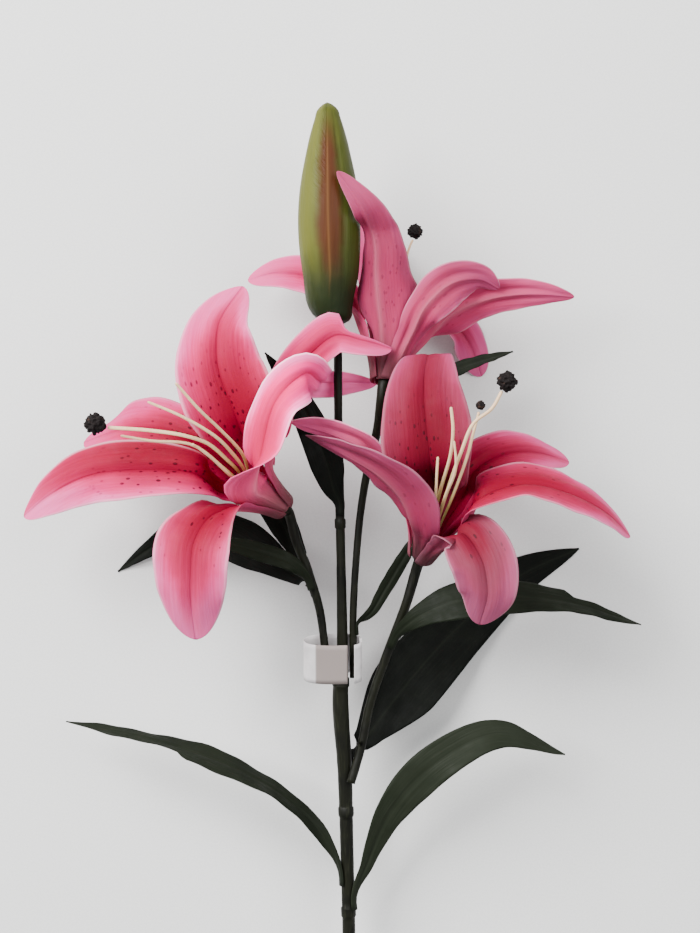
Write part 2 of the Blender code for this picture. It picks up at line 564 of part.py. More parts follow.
def leaf(name, data):
    """A leaf whose root lies along its stem and whose blade follows its points."""
    stem, v, direction = data.root
    off = LEAF_THICK / 2 + 0.15
    line, radii = line_of(stem)
    root, beyond = beside(stem, v, direction, off), beside(stem, v + 5, direction, off)
    hug = 1 / (radii.mean() + 1.2)
    points, facings, bends = [root, beyond], [direction, direction], [-hug, -hug]
    for place, facing, bend in data.points:
        points.append(sighted(place))
        facings.append(unit(facing))
        bends.append(bend)
    surface = blade_surface(Spine(points, facings, bends), data, 2.2, FORMS["leaf"])
    return sheet(name, LEAF_COLUMNS, LEAF_ROWS, surface, LEAF_THICK, "leaf")


def bud():
    """The closed bud: a turned profile with three shallow lobes, set along its own axis."""
    line = np.array([sighted(place) for place in BUD_LINE])
    axis = unit(line[-1] - line[0])
    side = unit(np.cross(axis, (0, 0, 1)))
    top = np.cross(side, axis)
    knots = chord_knots(line)
    shape = bmesh.new()
    profile = [(0, 0)] + [(radius, along) for along, radius in BUD_PROFILE]
    profile += [(0, BUD_PROFILE[-1][0] + 1.2)]
    corners = [shape.verts.new((radius, 0, along)) for radius, along in profile]
    edges = [shape.edges.new(pair) for pair in zip(corners, corners[1:])]
    bmesh.ops.spin(shape, geom=corners + edges, cent=(0, 0, 0), axis=(0, 0, 1),
                   angle=2 * math.pi, steps=BUD_SIDES, use_merge=True)
    bmesh.ops.remove_doubles(shape, verts=shape.verts[:], dist=1e-4)
    for corner in shape.verts:
        x, y, along = corner.co
        turn, radius = math.atan2(y, x), math.hypot(x, y)
        radius *= 1 + BUD_LOBE * math.cos(3 * turn)
        middle = smooth(knots, line, np.array([min(along / BUD_PROFILE[-1][0], 1)]))[0]
        place = middle + side * radius * math.cos(turn) + top * radius * math.sin(turn)
        place = place + axis * max(along - BUD_PROFILE[-1][0], 0)
        corner.co = place * MM
    return finished("bud", shape, "bud")


def grow(shape, face, line, radii):
    """Draws a face out along a line into a strand, and closes it with the same face."""
    last = len(line) - 1
    start = np.array(face.calc_center_median()) / MM
    before = start
    corners = [np.array(corner.co) / MM - start for corner in face.verts]
    for i, (place, radius) in enumerate(zip(line, radii)):
        ahead = line[min(i + 1, last)]
        along = unit(ahead - before if i < last else place - before)
        corners = [unit(c - c @ along * along) for c in corners]
        face = bmesh.ops.extrude_discrete_faces(shape, faces=[face])["faces"][0]
        for corner, direction in zip(face.verts, corners):
            corner.co = (place + direction * radius) * MM
        before = place


def strand_lines(name, strands):
    """Middle lines and end radii of a bloom's strands, spread evenly round the tube's axis."""
    base, axis, length, up, aside = bloom_frame(BLOOMS[name])
    goals = [sighted(points[0]) - base for points, _ in strands]
    middle = sum(goals) / len(goals)
    turns = np.array([math.atan2((goal - middle) @ aside, (goal - middle) @ up)
                      for goal in goals])
    even = np.arange(len(strands)) * 2 * math.pi / len(strands)
    start = np.mean(np.sort(turns) - even)
    for k, step in zip(np.argsort(turns), even):
        turn = start + step
        outwards = math.cos(turn) * up + math.sin(turn) * aside
        points, end_radius = strands[k]
        line = [base + axis * (PAD_PLACE + 3.6) + outwards * STRAND_RING,
                base + axis * length * 0.62 + outwards * STRAND_RING]
        yield line + [sighted(point) for point in points], end_radius, outwards


def stamens(name, strands):
    """The pale strands of one bloom, grown out of a pad that sits on the branch's end."""
    base, axis, _, up, aside = bloom_frame(BLOOMS[name])
    centre = base + axis * PAD_PLACE
    shape = bmesh.new()
    bmesh.ops.create_cube(shape, size=1)
    bmesh.ops.subdivide_edges(shape, edges=shape.edges[:], cuts=3, use_grid_fill=True)
    for corner in shape.verts:
        x, y, z = unit(corner.co)
        corner.co = (centre + (up * x + aside * y) * PAD_RADIUS + axis * z * 2.2) * MM
    shape.normal_update()
    bmesh.ops.recalc_face_normals(shape, faces=shape.faces[:])
    free = [face for face in shape.faces if np.array(face.normal) @ axis > 0.5]
    for places, end_radius, outwards in strand_lines(name, strands):
        wanted = centre + axis * 1.6 + outwards * 2.4
        face = min(free, key=lambda f: np.linalg.norm(
            np.array(f.calc_center_median()) / MM - wanted))
        free.remove(face)
        knots = chord_knots(places)
        shares = np.linspace(0, 1, 11)
        widths = STRAND_WIDTHS + [(1, end_radius)]
        radii = np.interp(shares, *zip(*widths))
        grow(shape, face, smooth(knots, places, shares), radii)
    return finished(name + "_stamens", shape, "strand")


def lump(name, centre, radius):
    """A crumbly lump of pollen."""
    shape = bmesh.new()
    bmesh.ops.create_icosphere(shape, subdivisions=3, radius=1)
    middle = sighted(centre)
    for corner in shape.verts:
        x, y, z = corner.co
        rough = (math.sin(7 * x + 1) * math.sin(6 * y + 2) + math.sin(8 * z + 3 * x)
                 + 0.6 * math.sin(13 * y + 9 * z)) / 2.6
        corner.co = (middle + np.array(corner.co) * radius * (0.86 + 0.16 * rough)) * MM
    return finished(name, shape, "pollen")


def paper_band():
    """An open loop of paper whose ends nearly meet, wide along the stems."""
    tilt = math.radians(BAND_TILT)
    over = np.array([0, -math.sin(tilt), math.cos(tilt)])
    width = np.array([0, math.cos(tilt), math.sin(tilt)]) * BAND_HALF
    centre = sighted(BAND_CENTRE)
    loop = np.array([centre + np.array([x, 0, 0]) + over * rise for x, rise in BAND_LOOP])
    knots = chord_knots(loop)

    def surface(side, share):
        return smooth(knots, loop, share) + width * side[:, None]

    return sheet("paper_band", 2, BAND_ROWS, surface, PAPER_THICK, "paper")


def main():
    clear_scene()
    for stem in ("main_stem", *BRANCHES):
        tube(stem, *line_of(stem), "stem")
    bud()
    for name, data in PETALS.items():
        petal(name, data)
    for name, strands in STAMENS.items():
        stamens(name, strands)
    for name, (centre, radius) in LUMPS.items():
        lump(name, centre, radius)
    for name, data in LEAVES.items():
        leaf(name, data)
    paper_band()


main()
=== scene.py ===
"""Cut lily spray laid on a pale floor: open blooms, a closed bud, leaves and a blank paper band.

Places are in millimetres as they are sighted from straight above: u to the right, v towards the
bud, and the height z over the floor. sighted() turns a sighted place into a real one.
"""

import math
from collections import namedtuple

import bmesh
import bpy
import numpy as np
from bpy.props import FloatProperty, FloatVectorProperty, IntProperty, PointerProperty
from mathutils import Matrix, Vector, noise


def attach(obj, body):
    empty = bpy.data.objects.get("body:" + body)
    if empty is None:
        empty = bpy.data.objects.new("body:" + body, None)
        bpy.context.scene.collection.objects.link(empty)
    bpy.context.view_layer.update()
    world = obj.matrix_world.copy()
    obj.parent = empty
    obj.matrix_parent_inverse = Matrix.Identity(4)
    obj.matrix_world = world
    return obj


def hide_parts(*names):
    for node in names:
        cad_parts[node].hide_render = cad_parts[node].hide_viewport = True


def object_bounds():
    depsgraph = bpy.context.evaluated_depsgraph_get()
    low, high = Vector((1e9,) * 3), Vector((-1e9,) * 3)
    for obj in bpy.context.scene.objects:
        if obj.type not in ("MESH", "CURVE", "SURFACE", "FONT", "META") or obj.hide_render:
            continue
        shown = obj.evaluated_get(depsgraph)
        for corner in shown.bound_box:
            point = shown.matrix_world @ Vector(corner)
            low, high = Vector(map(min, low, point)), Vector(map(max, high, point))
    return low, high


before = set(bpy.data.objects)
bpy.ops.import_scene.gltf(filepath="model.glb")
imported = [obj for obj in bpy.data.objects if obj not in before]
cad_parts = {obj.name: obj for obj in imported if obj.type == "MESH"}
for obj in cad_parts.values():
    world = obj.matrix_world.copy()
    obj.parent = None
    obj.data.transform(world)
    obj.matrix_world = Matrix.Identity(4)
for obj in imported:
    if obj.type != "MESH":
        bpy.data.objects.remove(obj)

bl_info = {
    "name": "Cut lily spray",
    "version": (1, 0, 0),
    "blender": (4, 5, 0),
    "location": "View3D > Sidebar > Lily",
    "description": "Builds a cut lily spray with its petals, leaves, bud and stems",
    "category": "Add Mesh",
}

CAD_BOX = [list(corner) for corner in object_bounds()]

# The sight that the places are measured in, in millimetres
MM = 0.001
SIGHT_DISTANCE = 1100
SIGHT_LEVEL = 40
SIGHT_CENTRE = 233
SIGHT_HEIGHT = 466.5
ORIGIN = (-7.71, 98.16)

# The stage, in metres: each lamp's place, size and power, and what the lamps look at
LAMPS = {"Window": ((-1.1, 1.0, 1.3), 1.3, 132), "Fill": ((1.1, 0.6, 1.6), 1.4, 35)}
LAMP_GOAL = ((CAD_BOX[0][0] + CAD_BOX[1][0]) / 2, 0.1, 0.03)
FLOOR_REACH = 3
AIR, AIR_STRENGTH = (0.95, 0.97, 1, 1), 0.62
SENSOR = 36
FAR_END = 20

STEM_START, STEM_END = -200.0, 303.5
STEM_LOW, STEM_HIGH = 3.32, 60
STEM_LEAN = 0.005            # sideways drift of the stem's part below the picture
STEM_SIDES, STEM_ROUGHNESS = 20, 0.12
SEAT_GAP = 0.35              # between a stem and what lies on it
END_CLEARANCE = 0.05
LAYER_STEP = 1.97            # from the inner petals of a tube out to the outer ones

Bloom = namedtuple("Bloom", "base throat up")
Petal = namedtuple(
    "Petal", "bloom turn layer width widest sharp wave points tone split trim flare",
    defaults=((2, 1, 0), (1, 1), 1))
Leaf = namedtuple("Leaf", "stem v direction width widest sharp wave points tone split trim",
                  defaults=((2, 1, 0), (1, 1)))

# Blades, petals and leaves alike: the half width, the share of the length where it is widest, how
# sharply the tip is drawn out, the ruffles' depth, count and phase, and points of the midrib as a
# sighted place, the direction of the upper face and the bend across. A split gives the share where
# a frayed end starts, its side and how much it loses; a trim narrows or widens the two sides.
#
# A petal's tone is the strength of the red streak, the share where it ends, how pale the edges
# are, how mauve the whole is, how many flecks it has, how far the streak leans to one side, and
# how light the whole is, which is partly the petal's own tone and partly painted light and shade.
# A leaf's is how light it is, how grey, and how clearly its veins show.

# Blooms: where the tube starts, where its throat opens, and the direction that turn 0 leans to
BLOOMS = {
    "left": Bloom((-33.5, 213, 52), (-57.5, 229, 78), (0, 1, 0)),
    "right": Bloom((35.5, 188, 54), (46.5, 214, 80), (0, 1, 0)),
    "back": Bloom((17, 274, 62), (22.5, 300, 52.5), (0, 0, 1)),
}
CLAW = [(0.03, 4.9), (0.3, 6.8), (0.62, 10), (0.85, 13.3)]    # share of the tube, radius

PETALS = {
    "left_petal_up": Petal("left", 0, "inner", 23, 0.53, 1.3, (1.2, 2, 0.3), [
        (-58, 260, 83, 0.1, -0.45, 0.9, 0.03), (-66, 284, 86, 0.1, -0.1, 0.98, 0.004),
        (-66, 303, 81, -0.2, 0.2, 0.95, 0), (-53.5, 323, 70, -0.2, 0.5, 0.85, -0.02)],
        (1, 0.92, 0.8, 0, 1, -0.15, 1)),
    "left_petal_far": Petal("left", 60, "outer", 16, 0.6, 1.9, (2.2, 2.5, 1.2), [
        (-86, 250, 66, -0.2, 0.5, 0.8, 0.02), (-108, 253, 50, -0.3, 0.5, 0.8, 0),
        (-133, 245, 30, -0.5, 0.6, 0.6, -0.02)], (1, 0.85, 0.5, 0, 0.8, 0.15, 0.9)),
    # The long petal's streak leans up, leaving its lower strip paler: partly its own colour,
    # partly painted light on the strip that turns up
    "left_petal_long": Petal("left", 120, "inner", 15.5, 0.6, 1.9, (1, 2, 2.2), [
        (-76, 229, 87, -0.15, 0.35, 0.9, 0.02), (-107, 231.5, 83, -0.1, 0.3, 0.95, 0.004),
        (-133, 228, 74, -0.3, 0.3, 0.9, 0), (-150, 219, 64, -0.4, 0.35, 0.85, -0.01),
        (-163, 208, 54, -0.5, 0.4, 0.8, -0.02)], (1, 1, 1.1, 0, 0.9, -0.5, 0.95)),
    "left_petal_down": Petal("left", 180, "outer", 19, 0.6, 2, (1.2, 2, 0.9), [
        (-68, 210, 88, -0.3, 0.5, 0.75, 0.01), (-78, 196, 100, -0.3, 0, 0.95, 0.004),
        (-80, 174, 101, -0.2, -0.2, 0.95, -0.006), (-77, 146.5, 88, -0.1, -0.5, 0.85, -0.03)],
        (1, 0.84, 1, 0.1, 0.3, 0, 0.92)),
    "left_petal_near": Petal("left", 238, "inner", 12.5, 0.24, 1.7, (0.5, 2, 0.2), [
        (-44, 245, 91, -0.6, 0.25, 0.75, 0.015), (-37, 267, 95, -0.5, 0.2, 0.85, -0.01),
        (-23, 279, 89, 0.2, -0.1, 0.97, -0.01), (-15, 275, 70, 0.72, -0.66, 0.2, 0),
        (-12, 274.5, 53, 0.65, -0.55, 0.5, 0), (-4, 275, 48.8, 0.2, -0.1, 0.97, 0),
        (13.5, 274.5, 45, 0.1, 0, 0.99, 0)], (0.6, 0.6, 1.5, 0, 0, 0, 1.6), trim=(1.2, 1)),
    "left_petal_right": Petal("left", 292, "outer", 15, 0.84, 2, (1.2, 1.5, 0.6), [
        (-35, 252, 70, -0.1, -0.1, 0.98, 0), (-31, 275.5, 71.5, 0, 0.1, 0.98, 0.01),
        (-18.5, 290.5, 73.5, 0, 0.2, 0.97, 0.01), (-6, 299, 75, 0, 0.3, 0.94, 0),
        (6, 296.5, 75, 0, 0.45, 0.9, 0), (21, 292, 70, 0.1, 0.6, 0.8, -0.02)],
        (0.7, 1, 0.6, 0, 0, 0, 1), (0.8, 1, 0.8), (0.65, 0.85), 1.15),
    "right_petal_up": Petal("right", 0, "inner", 23, 0.5, 1.3, (0.8, 2, 0.2), [
        (40, 236, 86, -0.1, -0.45, 0.9, 0.04), (38, 256, 88, -0.1, -0.1, 0.98, 0.004),
        (37, 275, 82, -0.1, 0.4, 0.9, 0), (39.5, 289, 69, -0.1, 0.9, 0.4, -0.01),
        (42, 282.5, 58, 0, 0.8, -0.5, -0.02)], (1, 1.1, 0.5, 0.35, 0.9, 0, 0.56)),
    "right_petal_left_far": Petal("right", 60, "outer", 11, 0.72, 2, (1, 2, 0.4), [
        (14.5, 230, 57, 0.3, 0.5, -0.8, 0.03), (6, 243, 68, 0.2, 0.6, -0.75, 0),
        (-10, 250, 68, 0.1, 0.7, -0.7, 0), (-29.5, 255, 66, 0, 0.8, -0.6, -0.02)],
        (0.6, 0.6, 1, 0.2, 0.2, 0, 1.35), trim=(0.52, 0.85), flare=1.32),
    "right_petal_left": Petal("right", 116, "inner", 15.5, 0.38, 1.5, (0.8, 2, 1.5), [
        (26.5, 217, 91.5, 0.5, 0.6, -0.6, 0.06), (14, 230, 94, 0.3, 0.75, -0.6, 0.02),
        (-3, 240, 89, 0.2, 0.85, -0.5, 0), (-22, 248.5, 78, 0.1, 0.9, -0.3, -0.02)],
        (0.6, 0.6, 0.8, 0.2, 0.3, 0, 0.48), trim=(0.77, 1), flare=1.35),
    "right_petal_down": Petal("right", 180, "outer", 16, 0.6, 2, (1, 2, 0.7), [
        (55, 200.5, 93, -0.1, 0.75, 0.6, 0.01), (66, 187, 100, 0.1, 0, 0.98, 0.004),
        (69, 171, 99, 0, -0.2, 0.97, -0.006), (65, 154, 88, 0, -0.5, 0.85, -0.03)],
        (1, 0.85, 0.8, 0.75, 0.2, 0, 0.6), flare=1.35),
    "right_petal_long": Petal("right", 240, "inner", 15.5, 0.5, 2, (1, 2, 0.1), [
        (65, 218, 88, -0.2, 0.8, 0.5, 0.02), (86, 225, 86, 0, 0.85, 0.5, 0.01),
        (108, 221, 81, 0.2, 0.8, 0.55, 0), (127, 211, 72, 0.4, 0.7, 0.6, 0),
        (140, 198, 62, 0.6, 0.6, 0.5, -0.02)], (1, 1, 0.8, 0.1, 0.4, 0, 0.98)),
    "right_petal_far": Petal("right", 300, "outer", 12.5, 0.55, 2, (1.5, 2, 1), [
        (62, 231, 71, 0, 0.4, 0.9, 0.005), (79, 240, 63, 0.2, 0.5, 0.85, 0),
        (94, 240, 55, 0.3, 0.5, 0.8, 0), (109.5, 235, 47, 0.4, 0.5, 0.75, -0.02)],
        (1, 0.95, 0.7, 0.15, 0.4, 0, 0.9)),
    "back_petal_near_right": Petal("back", 30, "outer", 11, 0.6, 1.5, (1.2, 2.5, 0.8), [
        (39, 314, 70, 0.3, 0.1, -0.95, 0.02), (54, 326, 69, 0.2, 0.3, -0.93, 0),
        (65, 327, 65, 0.2, 0.5, -0.8, 0), (74.5, 322, 60, 0.3, 0.6, -0.7, -0.02)],
        (0.7, 0.8, 0.8, 0.15, 0.5, 0, 0.75)),
    "back_petal_right": Petal("back", 90, "inner", 11, 0.45, 1.4, (0.8, 2, 0.3), [
        (49, 308, 55, -0.1, 0.3, -0.95, 0.02), (68, 317, 54.5, 0, 0.5, -0.85, 0),
        (84, 319.5, 54, 0.1, 0.5, -0.85, 0), (98, 319.3, 53, 0.1, 0.5, -0.85, 0),
        (112, 317.8, 50, 0.2, 0.6, -0.8, -0.02)], (0.9, 0.9, 0.6, 0.1, 0.4, 0, 1)),
    "back_petal_lower": Petal("back", 150, "outer", 11, 0.7, 2.2, (1, 2, 0.9), [
        (41, 307, 29, -0.4, 0.4, 0.8, 0), (54, 303, 16, 0.2, 0.4, 0.9, 0),
        (61, 292, 5, 0.3, 0.2, 0.9, 0), (65.5, 278, 0, 0.1, 0, 0.99, 0)],
        (0.8, 0.85, 0.9, 0.2, 0.1, 0, 0.75)),
    "back_petal_under": Petal("back", 210, "inner", 11, 0.55, 2, (0.8, 2, 0.4), [
        (16, 318, 26, 0.1, 0.3, 0.9, 0.01), (12, 339, 9, 0, 0.4, 0.9, 0),
        (9, 360, 0, 0, 0.1, 0.99, 0)], (0.8, 0.8, 0.6, 0.1, 0.4, 0, 0.7)),
    "back_petal_left": Petal("back", 270, "outer", 10.5, 0.65, 2.2, (0.8, 2, 0.6), [
        (-3, 319, 41, 0.3, 0.4, 0.9, 0.01), (-19, 328, 35, 0, 0.4, 0.9, 0),
        (-36, 330, 30, -0.1, 0.4, 0.9, 0), (-51, 326, 27, -0.2, 0.5, 0.8, -0.02)],
        (0.7, 0.8, 0.7, 0, 0.1, 0, 1)),
    "back_petal_up": Petal("back", 330, "inner", 22.5, 0.42, 0.5, (0.4, 2, 0.5), [
        (14.5, 316, 65, 0.25, 0.2, -0.95, 0.05), (13.5, 330, 65.5, 0.4, 0.1, -0.9, 0.07),
        (13.5, 341, 67.8, 0.42, 0.1, -0.9, 0.07), (12, 350, 69.5, 0.5, 0.2, -0.85, 0.08),
        (7, 361, 78.5, 0, 0.3, -0.95, 0.02), (-6.5, 380.5, 80.5, -0.4, 0.4, -0.8, 0)],
        (0.9, 0.8, 0.6, 0.2, 0.9, 0, 0.68), trim=(0.6, 1)),
}

# Stems: u and v of the main stem's middle with the radius there, from the root up, and the v of
# each collar. A branch has its bloom, the v where it leaves the main stem and the side that it
# leaves to, then sighted places with their radii, and ends on its bloom's axis.
MAIN_STEM = [(-0.5, 0, 3.3), (-2, 60.5, 3.4), (-2.6, 84, 3.7), (-4.6, 106, 4.1),
             (-4.8, 121, 4.1), (-3.9, 133, 2.9), (-4, 157.5, 2.6), (-4.6, 190, 2.2),
             (-4.9, 204.5, 2.3), (-6, 266.5, 2.1), (-6, STEM_END, 2.1)]
MAIN_COLLARS = (10.5, 60.5, 125.5, 204.5)
BRANCHES = {
    "left_branch": ("left", 128, (-0.92, 0, 0.4), [
        (-12.5, 143, 42.5, 2), (-15.3, 162, 44, 2.1), (-20.3, 178.5, 46, 2.2),
        (-27, 196, 48.5, 2.4)]),
    "right_branch": ("right", 76, (0.45, 0, 0.89), [
        (5.4, 92, 38.5, 2.2), (9.7, 113, 39.5, 2.2), (17.5, 136.5, 42, 2.2),
        (28.3, 165, 48, 2.4)]),
    "back_branch": ("back", 128, (1, 0, 0.15), [
        (1.6, 160, 44, 1.8), (3.1, 187, 46, 1.8), (6, 215.5, 47, 1.9),
        (8.5, 230, 49, 2.1), (13.5, 251, 55, 2.2)]),
}

BRANCH_END = [(-2, 2.7), (3, 4), (6, 2.9)]    # reach along the tube's axis, radius
COLLAR_HALVES, COLLAR_RISE = (2, 2.6), 0.5    # half lengths at its top and its foot, and height
STATIONS, BRANCH_STATIONS = 22, 26
STEM_STEPS, BRANCH_STEPS = 160, 70            # rings of faces

# Bud: its middle line, then how far along it from the foot and the half width there
BUD_LINE = [(-6, 304.1, 60.2), (-8.8, 309, 60.6), (-9.9, 330, 61.6), (-10.7, 351, 62.5),
            (-11.2, 380, 63.8), (-11.4, 414, 65)]
BUD_PROFILE = [(0, 2.6), (1.5, 6), (4, 8.6), (9, 10.6), (16.5, 12.3), (30.5, 14.3), (44, 15.3),
               (57, 15.2), (71, 13.8), (84, 11.3), (95, 8.8), (103, 6.4), (108, 4.6), (110, 2.4)]
BUD_POINT = 1.15             # how far the tip stands out beyond the profile
BUD_LOBE, BUD_SEAM, BUD_RIDGE = 0.02, 0.035, 0.022    # as shares of the radius
BUD_STEPS = 72

# Stamens: strands from the root inside the tube, as sighted places with the radius at the end
STAMENS = {
    "left": [
        ([(-60, 235, 90), (-72, 245, 98), (-81, 248, 102), (-100, 251, 104),
          (-121.5, 252.5, 104)], 1.2),
        ([(-55, 241, 92), (-65.5, 252, 104), (-75, 261, 112), (-87.5, 275, 118)], 1.15),
        ([(-57.5, 238, 94), (-66, 247, 106), (-84, 258, 115), (-101.5, 265.5, 118)], 0.85),
        ([(-61.5, 230, 94), (-69, 237, 103), (-79, 244.5, 111)], 0.85),
        ([(-63, 232, 90), (-78, 243.5, 96), (-100.5, 246, 98), (-115, 248.5, 99)], 0.9),
    ],
    "right": [
        ([(49, 222, 90), (55.5, 240, 103), (62.5, 255.5, 106), (71, 262, 106),
          (76.1, 271.1, 105.6)], 1.35),
        ([(46, 224, 90), (50.5, 240, 97), (51.5, 252, 100), (50.5, 263, 101)], 1),
        ([(43, 220, 90), (43.5, 230, 95), (44, 238, 97)], 1.1),
        ([(48, 219, 93), (53, 233, 103), (52, 246, 106)], 0.7),
        ([(52, 220, 88), (58.5, 238, 99.5), (62.5, 253, 101.5), (64.5, 260.6, 102.5)], 1.15),
    ],
    "back": [
        ([(24, 304, 51), (27, 324, 48), (29.5, 342, 47), (31.5, 346.6, 47)], 0.9),
        ([(26.5, 302, 48), (33, 318, 43), (38, 328, 40)], 0.7),
    ],
}
STRAND_WIDTHS = [(0, 0.8), (0.45, 1.25)]      # share of the strand, radius
STRAND_STEPS = 40
STRAND_RING = 2.6
STRAND_PARTING = 0.62        # share of the tube where the strands start to part
STRAND_SEAT = (1.6, 2.4)     # where a strand leaves the pad, up its axis and out from it
PAD_RADIUS, PAD_HEIGHT = 3.6, 2.2
PAD_PLACE = 8.55             # of the pad, along the tube's axis

# Pollen lumps: sighted places and radii, then the shares that build a radius up
LUMP_CORE, LUMP_WAVES, LUMP_CRUMBS = 0.86, 0.13, 0.2
LUMP_FINENESS = 5
LUMPS = {
    "left_stigma": ((-127.5, 254.5, 105), 5.4),
    "right_stigma": ((78.5, 275.5, 106), 5),
    "back_stigma": ((32.5, 350.5, 47), 4),
    "right_anther": ((65.3, 263.6, 103), 2.4),
}

# Leaves: stem, v of the root on it and the side that it lies on, then as for petals
LEAF_OFF = 0.5               # of a root's middle over its seat
LEAF_SEAT = 5                # length of the root that lies along the stem
LEAF_HUG = 1.2               # how much more open than the stem the root's hollow is
LEAVES = {
    "leaf_low_left": Leaf("main_stem", 24, (-0.85, 0, 0.5), 9, 0.5, 1.6, (0.8, 3, 0.2), [
        (-12, 46, 33, -0.4, 0.6, 0.7, 0.02), (-30.5, 66, 39, -0.1, 0.9, 0.45, 0.01),
        (-60, 83, 42, -0.1, 0.92, 0.4, 0.01), (-95, 95, 38, -0.1, 0.92, 0.4, 0.01),
        (-142, 105.5, 24, -0.2, 0.9, 0.4, 0)], (0.35, 0.35, 0.5), (0.62, 1, 0.45)),
    "leaf_low_right": Leaf("main_stem", 12, (0.75, 0, 0.66), 10, 0.5, 1.8, (0.8, 2, 0.9), [
        (8, 33, 31, 0.4, 0.1, 0.9, 0.03), (21.5, 62, 38, 0.2, 0, 0.97, 0.02),
        (45, 86, 43, 0.1, 0.2, 0.97, 0.01), (72, 99, 43, 0.1, 0.4, 0.9, 0.01),
        (107.5, 89, 30, 0.4, 0.6, 0.7, 0)], (0.75, 0.75, 1)),
    "leaf_big": Leaf("main_stem", 80, (0.55, 0, -0.84), 18, 0.33, 1.8, (0.8, 2, 0.4), [
        (10, 100, 22, -0.2, 0.1, 0.97, 0.02), (27.5, 123, 16, -0.1, 0.1, 0.98, 0.01),
        (56.5, 155, 6, 0, 0, 1, 0), (86, 179, 0.2, 0, 0, 1, 0), (114.5, 192, 0, 0, 0, 1, 0)],
        (0, 0.1, 0.3)),
    "leaf_right": Leaf("right_branch", 143, (0.2, 0, 0.98), 10, 0.35, 1.8, (0.8, 2, 0.6), [
        (30, 155, 54, 0.1, 0.3, 0.95, 0.02), (48, 164, 60, 0, 0.4, 0.9, 0.01),
        (80, 168, 60, 0.1, 0.5, 0.85, 0.01), (110, 165, 52, 0.2, 0.7, 0.7, 0.01),
        (145.5, 154, 38, 0.3, 0.7, 0.6, 0)], (0.45, 0.15, 0.6), (0.7, 1, 0.45)),
    "leaf_strip": Leaf("back_branch", 149, (1, 0, 0.2), 3.6, 0.5, 1.8, (0.3, 2, 0.3), [
        (10.5, 160, 44, 0.3, -0.2, 0.9, 0.01), (17, 171, 43, 0.2, -0.1, 0.95, 0.01),
        (26, 186, 42, 0.1, 0, 0.98, 0.01), (39, 207, 42, 0, 0, 1, 0)], (0.5, 0.2, 1)),
    "leaf_behind_left": Leaf("left_branch", 168, (-0.2, 0, -0.98), 12, 0.4, 1, (0.8, 2, 0.5), [
        (-27, 178, 36, -0.1, 0.2, 0.95, 0.01), (-45, 190, 28, 0, 0.2, 0.97, 0.01),
        (-78, 203, 17, 0, 0.2, 0.97, 0.01), (-100, 192, 4, 0, 0, 1, 0),
        (-116, 180.5, 0, 0, 0, 1, 0)], (0, 0.1, 0.4)),
    "leaf_green_left": Leaf("left_branch", 172, (-0.5, 0, 0.86), 5, 0.45, 1.8, (0.4, 2, 0.5), [
        (-27, 183, 52, -0.1, 0.3, 0.95, 0.02), (-44, 190, 55, 0, 0.4, 0.9, 0.01),
        (-59.5, 194, 55, 0, 0.3, 0.95, 0.01), (-73, 195, 52, 0, 0.3, 0.95, 0)], (0.5, 0.2, 0.8)),
    "leaf_dark_left": Leaf("left_branch", 176, (0, 0, -1), 7, 0.45, 1.8, (0.4, 2, 0.5), [
        (-27, 192, 40, 0.1, 0, 0.98, 0.02), (-36, 208, 37, 0, 0, 1, 0.01),
        (-46, 222, 37, 0, 0, 1, 0.01), (-56, 240, 40, 0, 0, 1, 0)], (0.05, 0.1, 0.5)),
    "leaf_centre": Leaf("main_stem", 209, (0, 0, 1), 8.5, 0.32, 1.7, (0.5, 2, 0.5), [
        (-8.5, 222, 57, 0.1, -0.2, 0.97, 0.03), (-11.5, 234, 59, 0.1, 0, 0.98, 0.02),
        (-16, 246, 58.8, 0, 0.1, 0.98, 0.02), (-28, 270, 57.3, 0, 0.1, 0.98, 0.01),
        (-42.5, 290, 57, 0, 0.1, 0.98, 0)], (0, 0.1, 0.3)),
    "leaf_small_back": Leaf("back_branch", 256, (1, 0, 0), 5, 0.5, 1.8, (0.3, 2, 0.5), [
        (26, 271, 55, -0.1, 0.6, 0.8, 0.02), (46, 279, 52, 0, 0.6, 0.8, 0.01),
        (65, 286, 48, 0, 0.7, 0.7, 0.01), (81.5, 290.5, 45, 0, 0.7, 0.7, 0)], (0.15, 0.5, 0.4)),
}

# Paper band: a blank strip looped round the left branch, in front of the main stem
BAND_HALF = 10.5
BAND_CENTRE = (0, 136.5, 42)
BAND_TILT = 20               # degrees, rise of the loop's axis towards the bud
BAND_LOOP = [(-1.2, 6.1), (-9, 6.4), (-16.5, 5.8), (-21.3, 3.6), (-23, -0.3), (-21.2, -4.4),
             (-16, -7), (-8, -7.6), (0, -7.3), (4.2, -5.2), (5.6, -1.2), (5.3, 3.1), (2.2, 5.9)]
BAND_GRID = (8, 96)

# Where painted shade darkens the band's face between its folds, in metres: left, right and how
# high
SHADE_LEFT, SHADE_RIGHT, SHADE_TOP = (-0.0100, -0.0088), (0.0069, 0.0075), (0.0415, 0.0440)

# Blade outlines: half width at the foot, how the width grows from it, and how it falls to the tip
FORMS = {"inner": (4.5, 1.25, 0.55), "outer": (6, 1.6, 0.55), "leaf": (2.2, 1.1, 0.8)}
PETAL_EDGE, LEAF_EDGE = 0.4, 0.5          # share of a blade's thickness left at its edges
TIP_CROWDING = 1.25
TIP_HALF_WIDTH = 0.5


def metres(name, description, default, low, high):
    return FloatProperty(name=name, description=description, default=default, min=low, max=high,
                         precision=4, unit="LENGTH")


def whole(name, description, default, low, high):
    return IntProperty(name=name, description=description, default=default, min=low, max=high)


def hue(name, description, default):
    return FloatVectorProperty(name=name, description=description, subtype="COLOR",
                               default=default, min=0.0, max=1.0)


